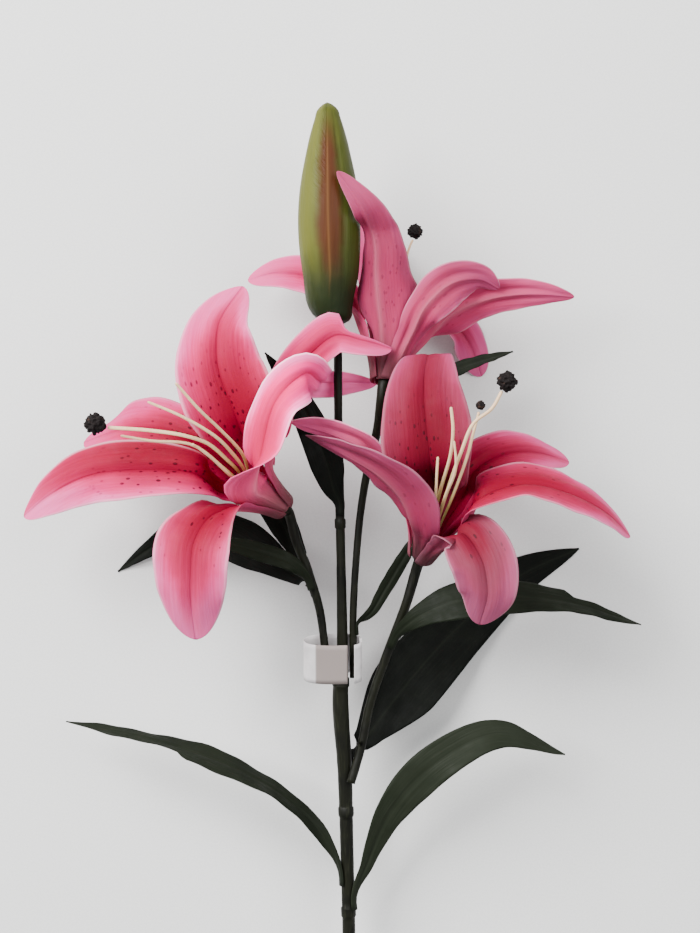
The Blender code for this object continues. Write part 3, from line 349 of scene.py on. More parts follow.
class LilySizes(bpy.types.PropertyGroup):
    """Sizes that a user would change."""

    petal_thickness: metres("Petal thickness", "Thickness of a petal along its midrib",
                            0.0008, 0.0002, 0.003)
    leaf_thickness: metres("Leaf thickness", "Thickness of a leaf along its midrib",
                           0.0006, 0.0002, 0.002)
    paper_thickness: metres("Paper thickness", "Thickness of the paper band",
                            0.0004, 0.0001, 0.001)
    midrib_depth: metres("Midrib depth", "Depth of the groove along a petal's middle",
                         0.0009, 0.0, 0.002)
    fold_depth: metres("Fold depth", "Depth of the shallow folds beside the midrib",
                       0.0005, 0.0, 0.001)
    petal_rows: whole("Petal rows", "Rows of faces along a petal", 56, 12, 120)
    petal_columns: whole("Petal columns", "Columns of faces across a petal", 26, 6, 60)
    leaf_rows: whole("Leaf rows", "Rows of faces along a leaf", 60, 12, 120)
    leaf_columns: whole("Leaf columns", "Columns of faces across a leaf", 16, 4, 40)


class LilyColours(bpy.types.PropertyGroup):
    """Colours that a user would change."""

    deep: hue("Throat red", "Red of the throat and the streak", (0.19, 0.0, 0.015))
    hot: hue("Streak pink", "Strong pink beside the streak", (0.46, 0.008, 0.075))
    pink: hue("Petal pink", "Pink of a petal's middle", (0.52, 0.014, 0.125))
    edge: hue("Edge pink", "Pale pink of the edges and tips", (0.64, 0.10, 0.27))
    mauve: hue("Mauve", "Tint of the duller petals", (0.24, 0.10, 0.135))
    fleck: hue("Fleck", "Dark flecks in the throat", (0.05, 0.001, 0.006))
    outside: hue("Outside", "Rose of the petals' outsides", (0.36, 0.024, 0.085))
    rib: hue("Rib", "Pale raised midrib on the outside", (0.46, 0.15, 0.20))
    foot: hue("Foot", "Dull maroon of a petal's foot", (0.11, 0.035, 0.042))
    rim: hue("Rim", "Near white of a petal's very edge", (0.85, 0.50, 0.60))
    leaf_dark: hue("Dark leaf", "Darkest leaf green", (0.0016, 0.0021, 0.0016))
    leaf_green: hue("Green leaf", "Lighter leaf green", (0.008, 0.012, 0.0045))
    leaf_grey: hue("Grey leaf", "Greyish leaf green", (0.014, 0.017, 0.011))
    stem: hue("Stem", "Olive brown of the stems", (0.0065, 0.007, 0.0036))
    bud_green: hue("Bud green", "Green of the bud", (0.036, 0.044, 0.006))
    # Bud lime: the bud's own lime at its tip, and painted light on its left side
    bud_lime: hue("Bud lime", "Lighter side of the bud", (0.085, 0.088, 0.014))
    bud_orange: hue("Bud stripe", "Orange-brown stripe", (0.052, 0.012, 0.003))
    bud_foot: hue("Bud foot", "Dark green of the bud's foot", (0.008, 0.013, 0.004))
    bud_ridge: hue("Bud ridge", "Ridge along the stripe", (0.20, 0.10, 0.035))
    strand: hue("Strand", "Cream of the strands", (0.60, 0.41, 0.235))
    strand_green: hue("Strand root", "Green of the strands' roots", (0.30, 0.28, 0.07))
    pollen: hue("Pollen", "Near black of the pollen lumps", (0.006, 0.004, 0.004))
    pollen_brown: hue("Brown pollen", "Brown bits of the pollen lumps", (0.05, 0.026, 0.018))
    paper: hue("Paper", "White of the paper band", (0.66, 0.63, 0.63))
    # Painted shade: a darker grey painted on the band's face between its folds to stand for its
    # shadow
    paper_shade: hue("Paper fold", "Face of the band between its folds", (0.26, 0.22, 0.205))
    floor: hue("Floor", "Pale grey of the floor", (0.66, 0.66, 0.65))


# Shapes


def unit(vector):
    vector = np.asarray(vector, float)
    return vector / np.linalg.norm(vector, axis=-1, keepdims=True)


def sighted(place):
    """The real place, in millimetres from the origin, of what is sighted at (u, v) at height z."""
    u, v, z = place
    spread = (SIGHT_DISTANCE - (z - SIGHT_LEVEL)) / SIGHT_DISTANCE
    return np.array([u * spread - ORIGIN[0],
                     SIGHT_CENTRE + (v - SIGHT_CENTRE) * spread - ORIGIN[1], z])


def smooth(knots, values, places):
    """Values at the places on a smooth curve through the values given at the knots."""
    knots, values, places = (np.asarray(x, float) for x in (knots, values, places))
    slopes = np.gradient(values, knots, axis=0)
    i = np.clip(np.searchsorted(knots, places, side="right") - 1, 0, len(knots) - 2)
    span = knots[i + 1] - knots[i]
    t = (places - knots[i]) / span
    if values.ndim > 1:
        span, t = span[:, None], t[:, None]
    return ((2 * t**3 - 3 * t**2 + 1) * values[i] + (t**3 - 2 * t**2 + t) * span * slopes[i]
            + (3 * t**2 - 2 * t**3) * values[i + 1] + (t**3 - t**2) * span * slopes[i + 1])


def heading(knots, points, shares, step):
    """How the smooth curve runs on at these shares of its length."""
    return (smooth(knots, points, np.clip(shares + step, 0, 1))
            - smooth(knots, points, np.clip(shares - step, 0, 1)))


def chord_knots(points):
    steps = np.linalg.norm(np.diff(points, axis=0), axis=1)
    return np.concatenate([[0], np.cumsum(steps)]) / steps.sum()


def smooth_step(t):
    t = np.clip(t, 0, 1)
    return t * t * (3 - 2 * t)


class Spine:
    """The midrib of a blade: its place, facing and bend at any share of its length."""

    def __init__(self, root, points):
        stations = root + [(sighted(point[:3]), point[3:6], point[6]) for point in points]
        places, facings, bends = zip(*stations)
        self.points = np.array(places, float)
        self.facings = unit(facings)
        self.bends = np.array(bends, float)
        self.knots = chord_knots(self.points)
        self.length = np.linalg.norm(np.diff(self.points, axis=0), axis=1).sum()

    def at(self, shares):
        along = unit(heading(self.knots, self.points, shares, 0.004))
        facing = smooth(self.knots, self.facings, shares)
        facing = unit(facing - (facing * along).sum(1, keepdims=True) * along)
        return (smooth(self.knots, self.points, shares), np.cross(facing, along), facing,
                np.interp(shares, self.knots, self.bends))


def half_width(share, blade, form):
    """Half a blade's width: a narrow foot, then its widest place, then a drawn-out tip."""
    foot, rise, fall = form
    rising = foot + (blade.width - foot) * smooth_step((share / blade.widest) ** rise)
    over = np.clip((share - blade.widest) / (1 - blade.widest), 0, 1)
    falling = blade.width * (1 - over**blade.sharp) ** fall
    return np.maximum(np.where(share < blade.widest, rising, falling), TIP_HALF_WIDTH)


def bowed(reach, bend):
    """How far across and inwards an arc of this bend gets, reach along it from the midrib."""
    angle = reach * bend
    return (reach * np.sinc(angle / np.pi),
            reach * np.sin(angle / 2) * np.sinc(angle / 2 / np.pi))


def petal_relief(side, share, half, sizes):
    """Height of a petal's inner face over its plain surface: midrib groove, folds and ruffles."""
    groove_width, ruffle_height = 1.8, 0.35
    grown = smooth_step(share / 0.3) * smooth_step((1 - share) / 0.32)
    groove = -sizes.midrib_depth / MM * np.exp(-(side * half / groove_width) ** 2)
    folds = -sizes.fold_depth / MM * np.cos(3 * np.pi * side) * np.exp(-(side / 0.8) ** 4)
    ruffle = np.sin(2 * np.pi * (7.3 * share + 0.4 * side)) * np.abs(side) ** 5
    return (groove + folds + ruffle_height * ruffle) * grown


def leaf_relief(side, share, half, sizes):
    """Height of a leaf's upper face over its plain surface: midrib groove and lengthwise ribs."""
    groove_depth, groove_width, rib_height, ruffle_height = 0.45, 0.8, 0.1, 0.3
    grown = smooth_step(share / 0.15) * smooth_step((1 - share) / 0.15)
    groove = -groove_depth * np.exp(-(side * half / groove_width) ** 2)
    ruffle = np.sin(2 * np.pi * (9 * share + side)) * np.abs(side) ** 4
    return (groove + rib_height * np.cos(7 * np.pi * side) + ruffle_height * ruffle) * grown


def blade_surface(spine, blade, form, relief, sizes):
    """Place, facing and reach on a blade, for a side from -1 to 1 and a share of its length."""
    depth, count, phase = blade.wave
    start, cut_side, loss = blade.split

    def surface(side, share):
        place, across, facing, bend = spine.at(share)
        half = half_width(share, blade, form) * np.where(side < 0, *blade.trim)
        sideways, inwards = bowed(side * half, bend)
        ripple = np.sin(2 * np.pi * (count * share + phase) + np.where(side > 0, 0, 1.9))
        grown = smooth_step(share / 0.35 - 0.6) * smooth_step((1 - share) / 0.12)
        inwards = inwards + depth * ripple * side**2 * grown + relief(side, share, half, sizes)
        cut = smooth_step((share - start) / 0.03) * np.where(side * cut_side > 0, loss, 0)
        sideways = sideways * (1 - cut)
        at = place + across * sideways[:, None] + facing * inwards[:, None]
        return at, facing, np.stack([side * half, share * spine.length, 0 * side], 1)

    return surface


def sheet(name, columns, rows, surface, thickness, rim, **marks):
    """A blade as one closed solid, thin at its edges, with its surface written on its points.

    blade holds the side, the share of the length and 1 on the inner face; span holds the
    distances across and along in centimetres. A mark is the same on all of the blade.
    """
    shape = bmesh.new()
    layer = shape.verts.layers.float_vector
    blade, span, lift = layer.new("blade"), layer.new("span"), layer.new("lift")
    written = [(layer.new(mark), value) for mark, value in marks.items()]
    bmesh.ops.create_grid(shape, x_segments=columns, y_segments=rows, size=1)
    flat = np.array([corner.co for corner in shape.verts])
    side, share = flat[:, 0], 1 - (1 - (flat[:, 1] + 1) / 2) ** TIP_CROWDING
    places, facings, spans = surface(side, share)
    for i, corner in enumerate(shape.verts):
        corner.co = places[i] * MM
        corner.co.z = max(corner.co.z, thickness / 2)
        corner[blade] = (side[i], share[i], 0)
        corner[span] = spans[i] / 10
        for mark, value in written:
            corner[mark] = value
    shape.normal_update()
    turned = sum(corner.normal.dot(Vector(facing)) for corner, facing in zip(shape.verts, facings))
    if turned < 0:
        bmesh.ops.reverse_faces(shape, faces=shape.faces[:])
        shape.normal_update()
    for corner in shape.verts:
        across, along, _ = corner[blade]
        edge = max(abs(across) ** 4, along**20)
        corner[lift] = corner.normal * (thickness / 2 * (1 - (1 - rim) * edge))
    front = shape.verts[:]
    grown = bmesh.ops.extrude_face_region(shape, geom=shape.faces[:], use_keep_orig=True)
    for corner in front:
        corner.co -= Vector(corner[lift])
    for item in grown["geom"]:
        if isinstance(item, bmesh.types.BMVert):
            item.co += Vector(item[lift])
            item[blade] = (item[blade][0], item[blade][1], 1)
    layer.remove(lift)
    return finished(name, shape)


def finished(name, shape):
    """The bmesh as a named object on or over the floor, with outward faces."""
    for corner in shape.verts:
        corner.co.z = max(corner.co.z, 0)
    shape.normal_update()
    bmesh.ops.recalc_face_normals(shape, faces=shape.faces[:])
    mesh = bpy.data.meshes.new(name)
    shape.to_mesh(mesh)
    shape.free()
    mesh.shade_smooth()
    made = bpy.data.objects.new(name, mesh)
    bpy.context.scene.collection.objects.link(made)
    return made


def bloom_frame(bloom):
    """Base, axis and tube length of a bloom, and the two directions that turns are counted in."""
    base, throat = sighted(bloom.base), sighted(bloom.throat)
    axis = unit(throat - base)
    up = np.array(bloom.up, float)
    up = unit(up - up @ axis * axis)
    return base, axis, np.linalg.norm(throat - base), up, np.cross(axis, up)


def petal(name, data, sizes):
    """A petal whose foot lies round its bloom's tube and whose blade follows its points."""
    base, axis, length, up, aside = bloom_frame(BLOOMS[data.bloom])
    turn = math.radians(data.turn)
    outwards = math.cos(turn) * up + math.sin(turn) * aside
    step = LAYER_STEP if data.layer == "outer" else 0
    root = []
    for share, radius in CLAW:
        radius = radius * (1 + (data.flare - 1) * share) + step
        root.append((base + axis * length * share + outwards * radius, -outwards, 1 / radius))
    surface = blade_surface(Spine(root, data.points), data, FORMS[data.layer], petal_relief, sizes)
    return sheet(name + "_blade", sizes.petal_columns, sizes.petal_rows, surface,
                 sizes.petal_thickness, PETAL_EDGE, tone=data.tone[:3],
                 tint=data.tone[3:6], light=(data.tone[6], 0, 0))


def main_stem_line():
    """Middle points and radii of the main stem, with its collars."""
    us, vs, radii = zip(*MAIN_STEM)
    half, edge = COLLAR_HALVES
    stations = set(np.linspace(STEM_START, STEM_END, STATIONS))
    for collar in MAIN_COLLARS:
        stations |= {collar - edge, collar - half, collar + half, collar + edge}
    line, widths = [], []
    for v in sorted(stations):
        u = np.interp(v, vs, us) if v > 0 else us[0] + STEM_LEAN * v
        on_collar = any(abs(v - collar) < (half + edge) / 2 for collar in MAIN_COLLARS)
        line.append(sighted((u, v, stem_height(v))))
        widths.append(np.interp(v, vs, radii) + COLLAR_RISE * on_collar)
    return np.array(line), np.array(widths)


def stem_height(v):
    return np.interp(v, [STEM_START, STEM_END], [STEM_LOW, STEM_HIGH])


def branch_line(name):
    """Middle points and radii of a branch, from beside the main stem into its bloom's tube."""
    bloom, v, direction, stations = BRANCHES[name]
    radii = [stations[0][3]] + [station[3] for station in stations]
    places = [beside("main_stem", v, direction, radii[0])]
    places += [sighted(station[:3]) for station in stations]
    base, axis, _, _, _ = bloom_frame(BLOOMS[bloom])
    for reach, radius in BRANCH_END:
        places.append(base + axis * reach)
        radii.append(radius)
    knots = chord_knots(places)
    shares = np.linspace(0, 1, BRANCH_STATIONS)
    return smooth(knots, places, shares), np.interp(shares, knots, radii)


def line_of(stem):
    return main_stem_line() if stem == "main_stem" else branch_line(stem)


def beside(stem, v, direction, reach):
    """A place reach and a gap off the stem's side, at the stem's station nearest the sighted v."""
    line, radii = line_of(stem)
    goal = sighted((0, v, stem_height(v)))[1]
    i = int(np.clip(np.searchsorted(line[:, 1], goal), 1, len(line) - 1))
    t = (goal - line[i - 1, 1]) / (line[i, 1] - line[i - 1, 1])
    middle = line[i - 1] + (line[i] - line[i - 1]) * t
    along = unit(line[i] - line[i - 1])
    direction = np.array(direction, float)
    direction = unit(direction - direction @ along * along)
    return middle + direction * (max(radii[i - 1], radii[i]) + SEAT_GAP + reach)


def grow(shape, face, line, radii, layer=None, roughness=0):
    """Draws a face out along a line into a strand, and closes it with the same face."""
    last = len(line) - 1
    before = start = np.array(face.calc_center_median()) / MM
    corners = [np.array(corner.co) / MM - start for corner in face.verts]
    for i, (place, radius) in enumerate(zip(line, radii)):
        ahead = line[min(i + 1, last)]
        along = unit(ahead - before if i < last else place - before)
        corners = [unit(c - c @ along * along) for c in corners]
        face = bmesh.ops.extrude_discrete_faces(shape, faces=[face])["faces"][0]
        for corner, direction in zip(face.verts, corners):
            there = place + direction * radius
            rough = noise.noise(Vector(there * 0.5)) * roughness
            corner.co = (there + direction * rough) * MM
            if layer:
                corner[layer] = (i / last, 0, 0)
        before = place


def stem_piece(name, line, radii, steps):
    """A round stem of changing radius with closed ends and a slightly uneven skin."""
    knots = chord_knots(line)
    shares = np.unique(np.concatenate([knots, np.linspace(0, 1, steps)]))
    line, radii = smooth(knots, line, shares), np.interp(shares, knots, radii)
    shape = bmesh.new()
    bmesh.ops.create_circle(shape, cap_ends=True, segments=STEM_SIDES, radius=1)
    along = unit(line[1] - line[0])
    line[0] += along * END_CLEARANCE
    side = unit(np.cross(along, (0, 0, 1)))
    top = np.cross(side, along)
    for corner in shape.verts:
        x, y, _ = corner.co
        corner.co = (line[0] + (side * x + top * y) * radii[0]) * MM
    shape.normal_update()
    grow(shape, next(iter(shape.faces)), line[1:], radii[1:], roughness=STEM_ROUGHNESS)
    bmesh.ops.holes_fill(shape, edges=[edge for edge in shape.edges if edge.is_boundary])
    return finished(name, shape)


def leaf(name, data, sizes):
    """A leaf whose root lies along its stem and whose blade follows its points."""
    _, radii = line_of(data.stem)
    bend = -1 / (radii.mean() + LEAF_HUG)
    root = [(beside(data.stem, v, data.direction, LEAF_OFF), data.direction, bend)
            for v in (data.v, data.v + LEAF_SEAT)]
    surface = blade_surface(Spine(root, data.points), data, FORMS["leaf"], leaf_relief, sizes)
    return sheet(name + "_blade", sizes.leaf_columns, sizes.leaf_rows, surface,
                 sizes.leaf_thickness, LEAF_EDGE, tone=data.tone)


def bud_piece():
    """The closed bud: a turned profile with three lobes whose seams meet at the tip."""
    line = np.array([sighted(place) for place in BUD_LINE])
    axis = unit(line[-1] - line[0])
    side = unit(np.cross(axis, (0, 0, 1)))
    top = np.cross(side, axis)
    knots = chord_knots(line)
    length = BUD_PROFILE[-1][0]
    stations = np.linspace(0, length, BUD_STEPS)
    radii = smooth(*zip(*BUD_PROFILE), stations)
    shape = bmesh.new()
    layer = shape.verts.layers.float_vector.new("blade")
    profile = [(0, 0)] + list(zip(radii, stations)) + [(0, length + BUD_POINT)]
    corners = [shape.verts.new((radius, 0, along)) for radius, along in profile]
    edges = [shape.edges.new(pair) for pair in zip(corners, corners[1:])]
    bmesh.ops.spin(shape, geom=corners + edges, cent=(0, 0, 0), axis=(0, 0, 1),
                   angle=2 * math.pi, steps=BUD_STEPS, use_merge=True)
    bmesh.ops.remove_doubles(shape, verts=shape.verts[:], dist=1e-4)
    for corner in shape.verts:
        x, y, along = corner.co
        turn, radius = math.atan2(y, x), math.hypot(x, y)
        share = min(max(along / length, 0), 1)
        seam = math.exp(-(math.cos(1.5 * turn) / 0.12) ** 2) * smooth_step(share * 1.4)
        ridge = (math.exp(-((turn - math.pi / 2) / 0.07) ** 2)
                 * smooth_step(share / 0.2) * smooth_step((1 - share) / 0.2))
        radius *= 1 + BUD_LOBE * math.cos(3 * turn) - BUD_SEAM * seam + BUD_RIDGE * ridge
        middle = smooth(knots, line, np.array([share]))[0]
        place = middle + side * radius * math.cos(turn) + top * radius * math.sin(turn)
        corner.co = (place + axis * max(along - length, 0)) * MM
        corner[layer] = (math.cos(turn), share, math.sin(turn))
    return finished("bud_shell", shape)


def strand_lines(name, strands):
    """Middle lines and end radii of a bloom's strands, spread evenly round the tube's axis."""
    base, axis, length, up, aside = bloom_frame(BLOOMS[name])
    goals = [sighted(points[0]) - base for points, _ in strands]
    middle = sum(goals) / len(goals)
    turns = np.array([math.atan2((goal - middle) @ aside, (goal - middle) @ up)
                      for goal in goals])
    even = np.arange(len(strands)) * 2 * math.pi / len(strands)
    start = np.mean(np.sort(turns) - even)
    for k, step in zip(np.argsort(turns), even):
        turn = start + step
        outwards = math.cos(turn) * up + math.sin(turn) * aside
        points, end_radius = strands[k]
        roots = [base + axis * reach + outwards * STRAND_RING
                 for reach in (PAD_PLACE + PAD_RADIUS, length * STRAND_PARTING)]
        yield roots + [sighted(point) for point in points], end_radius, outwards


def strands_piece(name, strands):
    """The pale strands of one bloom, grown out of a pad that sits on the branch's end."""
    base, axis, _, up, aside = bloom_frame(BLOOMS[name])
    centre = base + axis * PAD_PLACE
    shape = bmesh.new()
    layer = shape.verts.layers.float_vector.new("blade")
    bmesh.ops.create_cube(shape, size=1)
    bmesh.ops.subdivide_edges(shape, edges=shape.edges[:], cuts=3, use_grid_fill=True)
    for corner in shape.verts:
        x, y, z = unit(corner.co)
        corner.co = (centre + (up * x + aside * y) * PAD_RADIUS + axis * z * PAD_HEIGHT) * MM
    shape.normal_update()
    bmesh.ops.recalc_face_normals(shape, faces=shape.faces[:])
    free = [face for face in shape.faces if np.array(face.normal) @ axis > 0.5]
    for places, end_radius, outwards in strand_lines(name, strands):
        wanted = centre + axis * STRAND_SEAT[0] + outwards * STRAND_SEAT[1]
        face = min(free, key=lambda f: np.linalg.norm(
            np.array(f.calc_center_median()) / MM - wanted))
        free.remove(face)
        knots = chord_knots(places)
        shares = np.linspace(0, 1, STRAND_STEPS)
        radii = np.interp(shares, *zip(*STRAND_WIDTHS, (1, end_radius)))
        grow(shape, face, smooth(knots, places, shares), radii, layer)
    made = finished(name + "_strands", shape)
    rounder = made.modifiers.new("Rounder", "SUBSURF")
    rounder.levels = rounder.render_levels = 2
    return made


def lump_piece(name, centre, radius):
    """A crumbly lump of pollen: a ball broken up by waves and by noise."""
    shape = bmesh.new()
    bmesh.ops.create_icosphere(shape, subdivisions=LUMP_FINENESS, radius=1)
    middle = sighted(centre)
    for corner in shape.verts:
        x, y, z = corner.co
        rough = (math.sin(7 * x + 1) * math.sin(6 * y + 2) + math.sin(8 * z + 3 * x)
                 + 0.6 * math.sin(13 * y + 9 * z)) / 2.6
        crumbs = noise.fractal(corner.co * 3.4 + Vector(middle), 0.9, 2.1, 4)
        out = radius * (LUMP_CORE + LUMP_WAVES * rough + LUMP_CRUMBS * crumbs)
        corner.co = (middle + np.array(corner.co) * out) * MM
    return finished(name, shape)


def band_piece(sizes):
    """An open loop of paper whose ends nearly meet, wide along the stems."""
    tilt = math.radians(BAND_TILT)
    over = np.array([0, -math.sin(tilt), math.cos(tilt)])
    width = np.array([0, math.cos(tilt), math.sin(tilt)]) * BAND_HALF
    centre = sighted(BAND_CENTRE)
    loop = np.array([centre + np.array([x, 0, 0]) + over * rise for x, rise in BAND_LOOP])
    knots = chord_knots(loop)

    def surface(side, share):
        facing = unit(np.cross(heading(knots, loop, share, 0.01), width))
        place = smooth(knots, loop, share) + width * side[:, None]
        return place, facing, np.stack([side * BAND_HALF, share * 100, 0 * side], 1)

    return sheet("paper_band_loop", *BAND_GRID, surface, sizes.paper_thickness, 1)


# Finishes


def both_ways(operation):
    """The methods that let a Flow stand before or after the sign of this operation."""
    return (lambda flow, other: flow.web.math(operation, flow, other),
            lambda flow, other: flow.web.math(operation, other, flow))


class Flow:
    """What comes out of a node. Sums and products of it add the nodes that reckon them."""

    __add__, __radd__ = both_ways("ADD")
    __sub__, __rsub__ = both_ways("SUBTRACT")
    __mul__, __rmul__ = both_ways("MULTIPLY")
    __truediv__, __rtruediv__ = both_ways("DIVIDE")
    __pow__, __rpow__ = both_ways("POWER")

    def __init__(self, web, socket):
        self.web, self.socket = web, socket

    def __abs__(self):
        return self.web.math("ABSOLUTE", self)

    def of(self, label):
        """Another output of the same node."""
        return Flow(self.web, self.socket.node.outputs[label])

    def parts(self):
        """The three numbers of a vector or colour."""
        first = self.web.node("SeparateXYZ", [self])
        return first, first.of(1), first.of(2)

    def clamped(self):
        """The same sum, kept between 0 and 1."""
        self.socket.node.use_clamp = True
        return self

    def rise(self, low, high, start=0, end=1):
        """A smooth step from start to end, as this goes from low to high."""
        return self.web.node("MapRange", [self, low, high, start, end],
                             interpolation_type="SMOOTHSTEP")

    def fall(self, low, high):
        """A smooth step from 1 to 0, as this goes from low to high."""
        return 1 - self.rise(low, high)

    def bell(self, width):
        """1 where this is 0, falling off over the width."""
        return 1 / (1 + (self / width) ** 2)


class Web:
    """A node tree, with short ways to add the nodes that the finishes are made of."""

    def __init__(self, tree):
        self.tree = tree

    def put(self, socket, value):
        if isinstance(value, Flow):
            self.tree.links.new(value.socket, socket)
        elif isinstance(socket.default_value, (int, float)):
            socket.default_value = value
        else:
            socket.default_value = (*value, 1)[:len(socket.default_value)]

    def node(self, kind, values=(), out=0, **settings):
        """Adds a node with its inputs' values, in order or by label, and gives one output."""
        made = self.tree.nodes.new("ShaderNode" + kind)
        for setting, value in settings.items():
            setattr(made, setting, value)
        for label, value in values.items() if isinstance(values, dict) else enumerate(values):
            self.put(made.inputs[label], value)
        return Flow(self, made.outputs[out])

    def math(self, operation, *values):
        return self.node("Math", values, operation=operation)

    def paint(self, colour, *coats):
        """The colour with coats over it, each a share and the colour that it brings."""
        for share, coat in coats:
            colour = self.node("Mix", {0: share, 6: colour, 7: coat}, 2, data_type="RGBA")
        return colour

    def vector(self, *values):
        return self.node("CombineXYZ", values)

    def noise(self, vector, scale, detail=2, roughness=0.5):
        return self.node("TexNoise", {"Vector": vector, "Scale": scale, "Detail": detail,
                                      "Roughness": roughness}, "Fac")

    def attribute(self, name):
        return self.node("Attribute", out="Vector", attribute_name=name)

    def place(self):
        return self.node("TexCoord", out="Object")

    def group(self, name, **values):
        """Places a node group, and gives its first output."""
        return self.node("Group", values, node_tree=bpy.data.node_groups[name])


def new_group(name, inputs, outputs):
    """A new node group: its web, what it is given, and the sockets of what it puts out."""
    tree = bpy.data.node_groups.new(name, "ShaderNodeTree")
    for side, labels in (("INPUT", inputs), ("OUTPUT", outputs)):
        for label, kind in labels.items():
            tree.interface.new_socket(label, in_out=side, socket_type="NodeSocket" + kind)
    web = Web(tree)
    given = tree.nodes.new("NodeGroupInput").outputs
    return (web, [Flow(web, given[label]) for label in inputs],
            tree.nodes.new("NodeGroupOutput").inputs)


def scaled(colour, *by):
    """The colour with its parts multiplied, and kept at 1 or below."""
    return tuple(np.minimum(1, np.array(colour) * by))


PAINTED = {"Colour": "Color", "Height": "Float"}
PETAL_MARKS = ("Blade", "Span", "Tone", "Tint", "Light")
PETAL_COLOURS = ("Deep", "Hot", "Pink", "Edge", "Mauve", "Fleck", "Outside", "Rib", "Foot", "Rim")


def build_streaks():
    """Fine lengthwise streaks on a blade: the veins of petals and leaves."""
    web, (span, fineness, stretch), out = new_group(
        "Lengthwise streaks", {"Span": "Vector", "Fineness": "Float", "Stretch": "Float"},
        {"Streaks": "Float"})
    x, y, _ = span.parts()
    web.put(out["Streaks"], web.noise(web.vector(x * fineness, y / stretch, 0), 1, 3, 0.6))


def build_flecks():
    """Small dark dots, drawn out lengthwise and some left out, on a blade."""
    web, (span, density, size), out = new_group(
        "Throat flecks", {"Span": "Vector", "Density": "Float", "Size": "Float"},
        {"Flecks": "Float"})
    x, y, _ = span.parts()
    cells = web.node("TexVoronoi", {"Vector": web.vector(x, y * 0.5, 0), "Scale": 4.4,
                                    "Randomness": 0.9}, "Distance")
    chance, _, _ = cells.of("Color").parts()
    kept = web.math("LESS_THAN", chance, density)
    web.put(out["Flecks"], cells.fall(size * 0.6, size) * kept)


def build_petal_colour():
    """Colour and height of a petal, from the marks on its points and its colours."""
    inputs = dict.fromkeys(PETAL_MARKS, "Vector") | dict.fromkeys(PETAL_COLOURS, "Color")
    web, given, out = new_group("Petal colour", inputs, PAINTED)
    blade, span, tone, tint, light, *colours = given
    deep, hot, pink, edge, mauve, fleck, outside, rib, foot, rim = colours
    side, share, inner = blade.parts()
    across, _, _ = span.parts()
    streak, end, pale = tone.parts()
    dusk, flecks, lean = tint.parts()
    lit, _, _ = light.parts()
    away = abs(side)
    wander = (web.noise(span, 0.8) - 0.5) * 0.3
    veins = web.group("Lengthwise streaks", Span=span, Fineness=9, Stretch=2.2)
    vein = veins - 0.5

    # The streak: strong pink over a wide share of the breadth, deep red over a narrow one
    reached = (share + vein * 0.13) / end
    off = (abs(side - lean) + wander) / reached.rise(0.35, 1.05, 1.6, 0.4)
    wide = off.fall(0.4, 1.2) * reached.fall(0.75, 1.2)
    narrow = off.fall(0.1, 0.85) * reached.fall(0.5, 1.05)

    # Paler towards the edges and the tip
    margin = (away + wander + vein * 0.25).rise(0.5, 1) * share.rise(0.25, 0.7, 0.4, 1)
    tip = (share + vein * 0.13).rise(0.6, 0.95)
    lighter = (web.math("MAXIMUM", margin, tip * 0.9) * pale).clamped()

    in_throat = share.rise(0.1, 0.2) * share.fall(0.52, 0.78) * away.fall(0.7, 0.95)
    dots = web.group("Throat flecks", Span=span, Density=flecks, Size=0.29) * in_throat
    inside = web.paint(
        pink, (lighter, edge), ((wide ** 0.7).clamped() * streak, hot),
        ((narrow ** 0.6).clamped() * streak, deep),
        (across.bell(0.05) * (share / end).fall(0.75, 1.2) * 0.5, deep), (dots * 0.9, fleck))
    under = web.paint(
        outside, (lighter * 0.6, edge), (dots * 0.3, fleck),
        (across.bell(0.12) * share.fall(0.5, 0.9) * 0.4, rib),
        ((share + vein * 0.1).fall(0.04, 0.26) * 0.9, foot))
    colour = web.paint(
        under, (inner, inside), (dusk * narrow.rise(0.2, 0.9, 0.65, 0.1), mauve),
        (away.rise(0.9, 0.98) * share.rise(0.3, 0.5) * (pale * 0.35), rim))
    # Painted light and shade: lit brightens or darkens the whole petal, partly its own tone and
    # partly its light
    web.put(out["Colour"], web.node("HueSaturation", {
        "Value": lit * (1 + vein * 0.18), "Color": colour}))
    crease = across.bell(0.045) * inner.rise(0, 1, 0.3, -0.5)
    web.put(out["Height"], veins * 0.3 + dots * 0.12 + crease)


def build_leaf_colour():
    """Colour and height of a leaf, from its span, its tone and three greens."""
    web, (span, tone, dark, green, grey), out = new_group(
        "Leaf colour", {"Span": "Vector", "Tone": "Vector", "Dark": "Color", "Green": "Color",
                        "Grey": "Color"}, PAINTED)
    across, _, _ = span.parts()
    light, greyness, veined = tone.parts()
    veins = web.group("Lengthwise streaks", Span=span, Fineness=11, Stretch=4)
    patches = web.noise(span, 0.7, 3)
    web.put(out["Colour"], web.paint(
        dark, ((light + (patches - 0.5) * 0.5).clamped(), green),
        (greyness * patches.rise(0.3, 0.7, 0.6, 1), grey),
        (veins.rise(0.5, 0.68) * (veined * 0.5), grey), (across.bell(0.05) * 0.35, grey)))
    web.put(out["Height"], veins)


# Each paint gives a colour, the grain that the roughness follows, and the height of the bump


def petal_paint(web, colours):
    """Pink with a red streak and dark flecks inside, rose with a pale rib outside."""
    marks = {label: web.attribute(label.lower()) for label in PETAL_MARKS}
    tints = {label: getattr(colours, label.lower()) for label in PETAL_COLOURS}
    colour = web.group("Petal colour", **marks, **tints)
    return colour, web.noise(web.place(), 260, 3), colour.of("Height")


def leaf_paint(web, colours):
    """Dark green in patches, with paler veins and midrib."""
    colour = web.group("Leaf colour", Span=web.attribute("span"), Tone=web.attribute("tone"),
                       Dark=colours.leaf_dark, Green=colours.leaf_green, Grey=colours.leaf_grey)
    return colour, web.noise(web.place(), 180, 3), colour.of("Height")


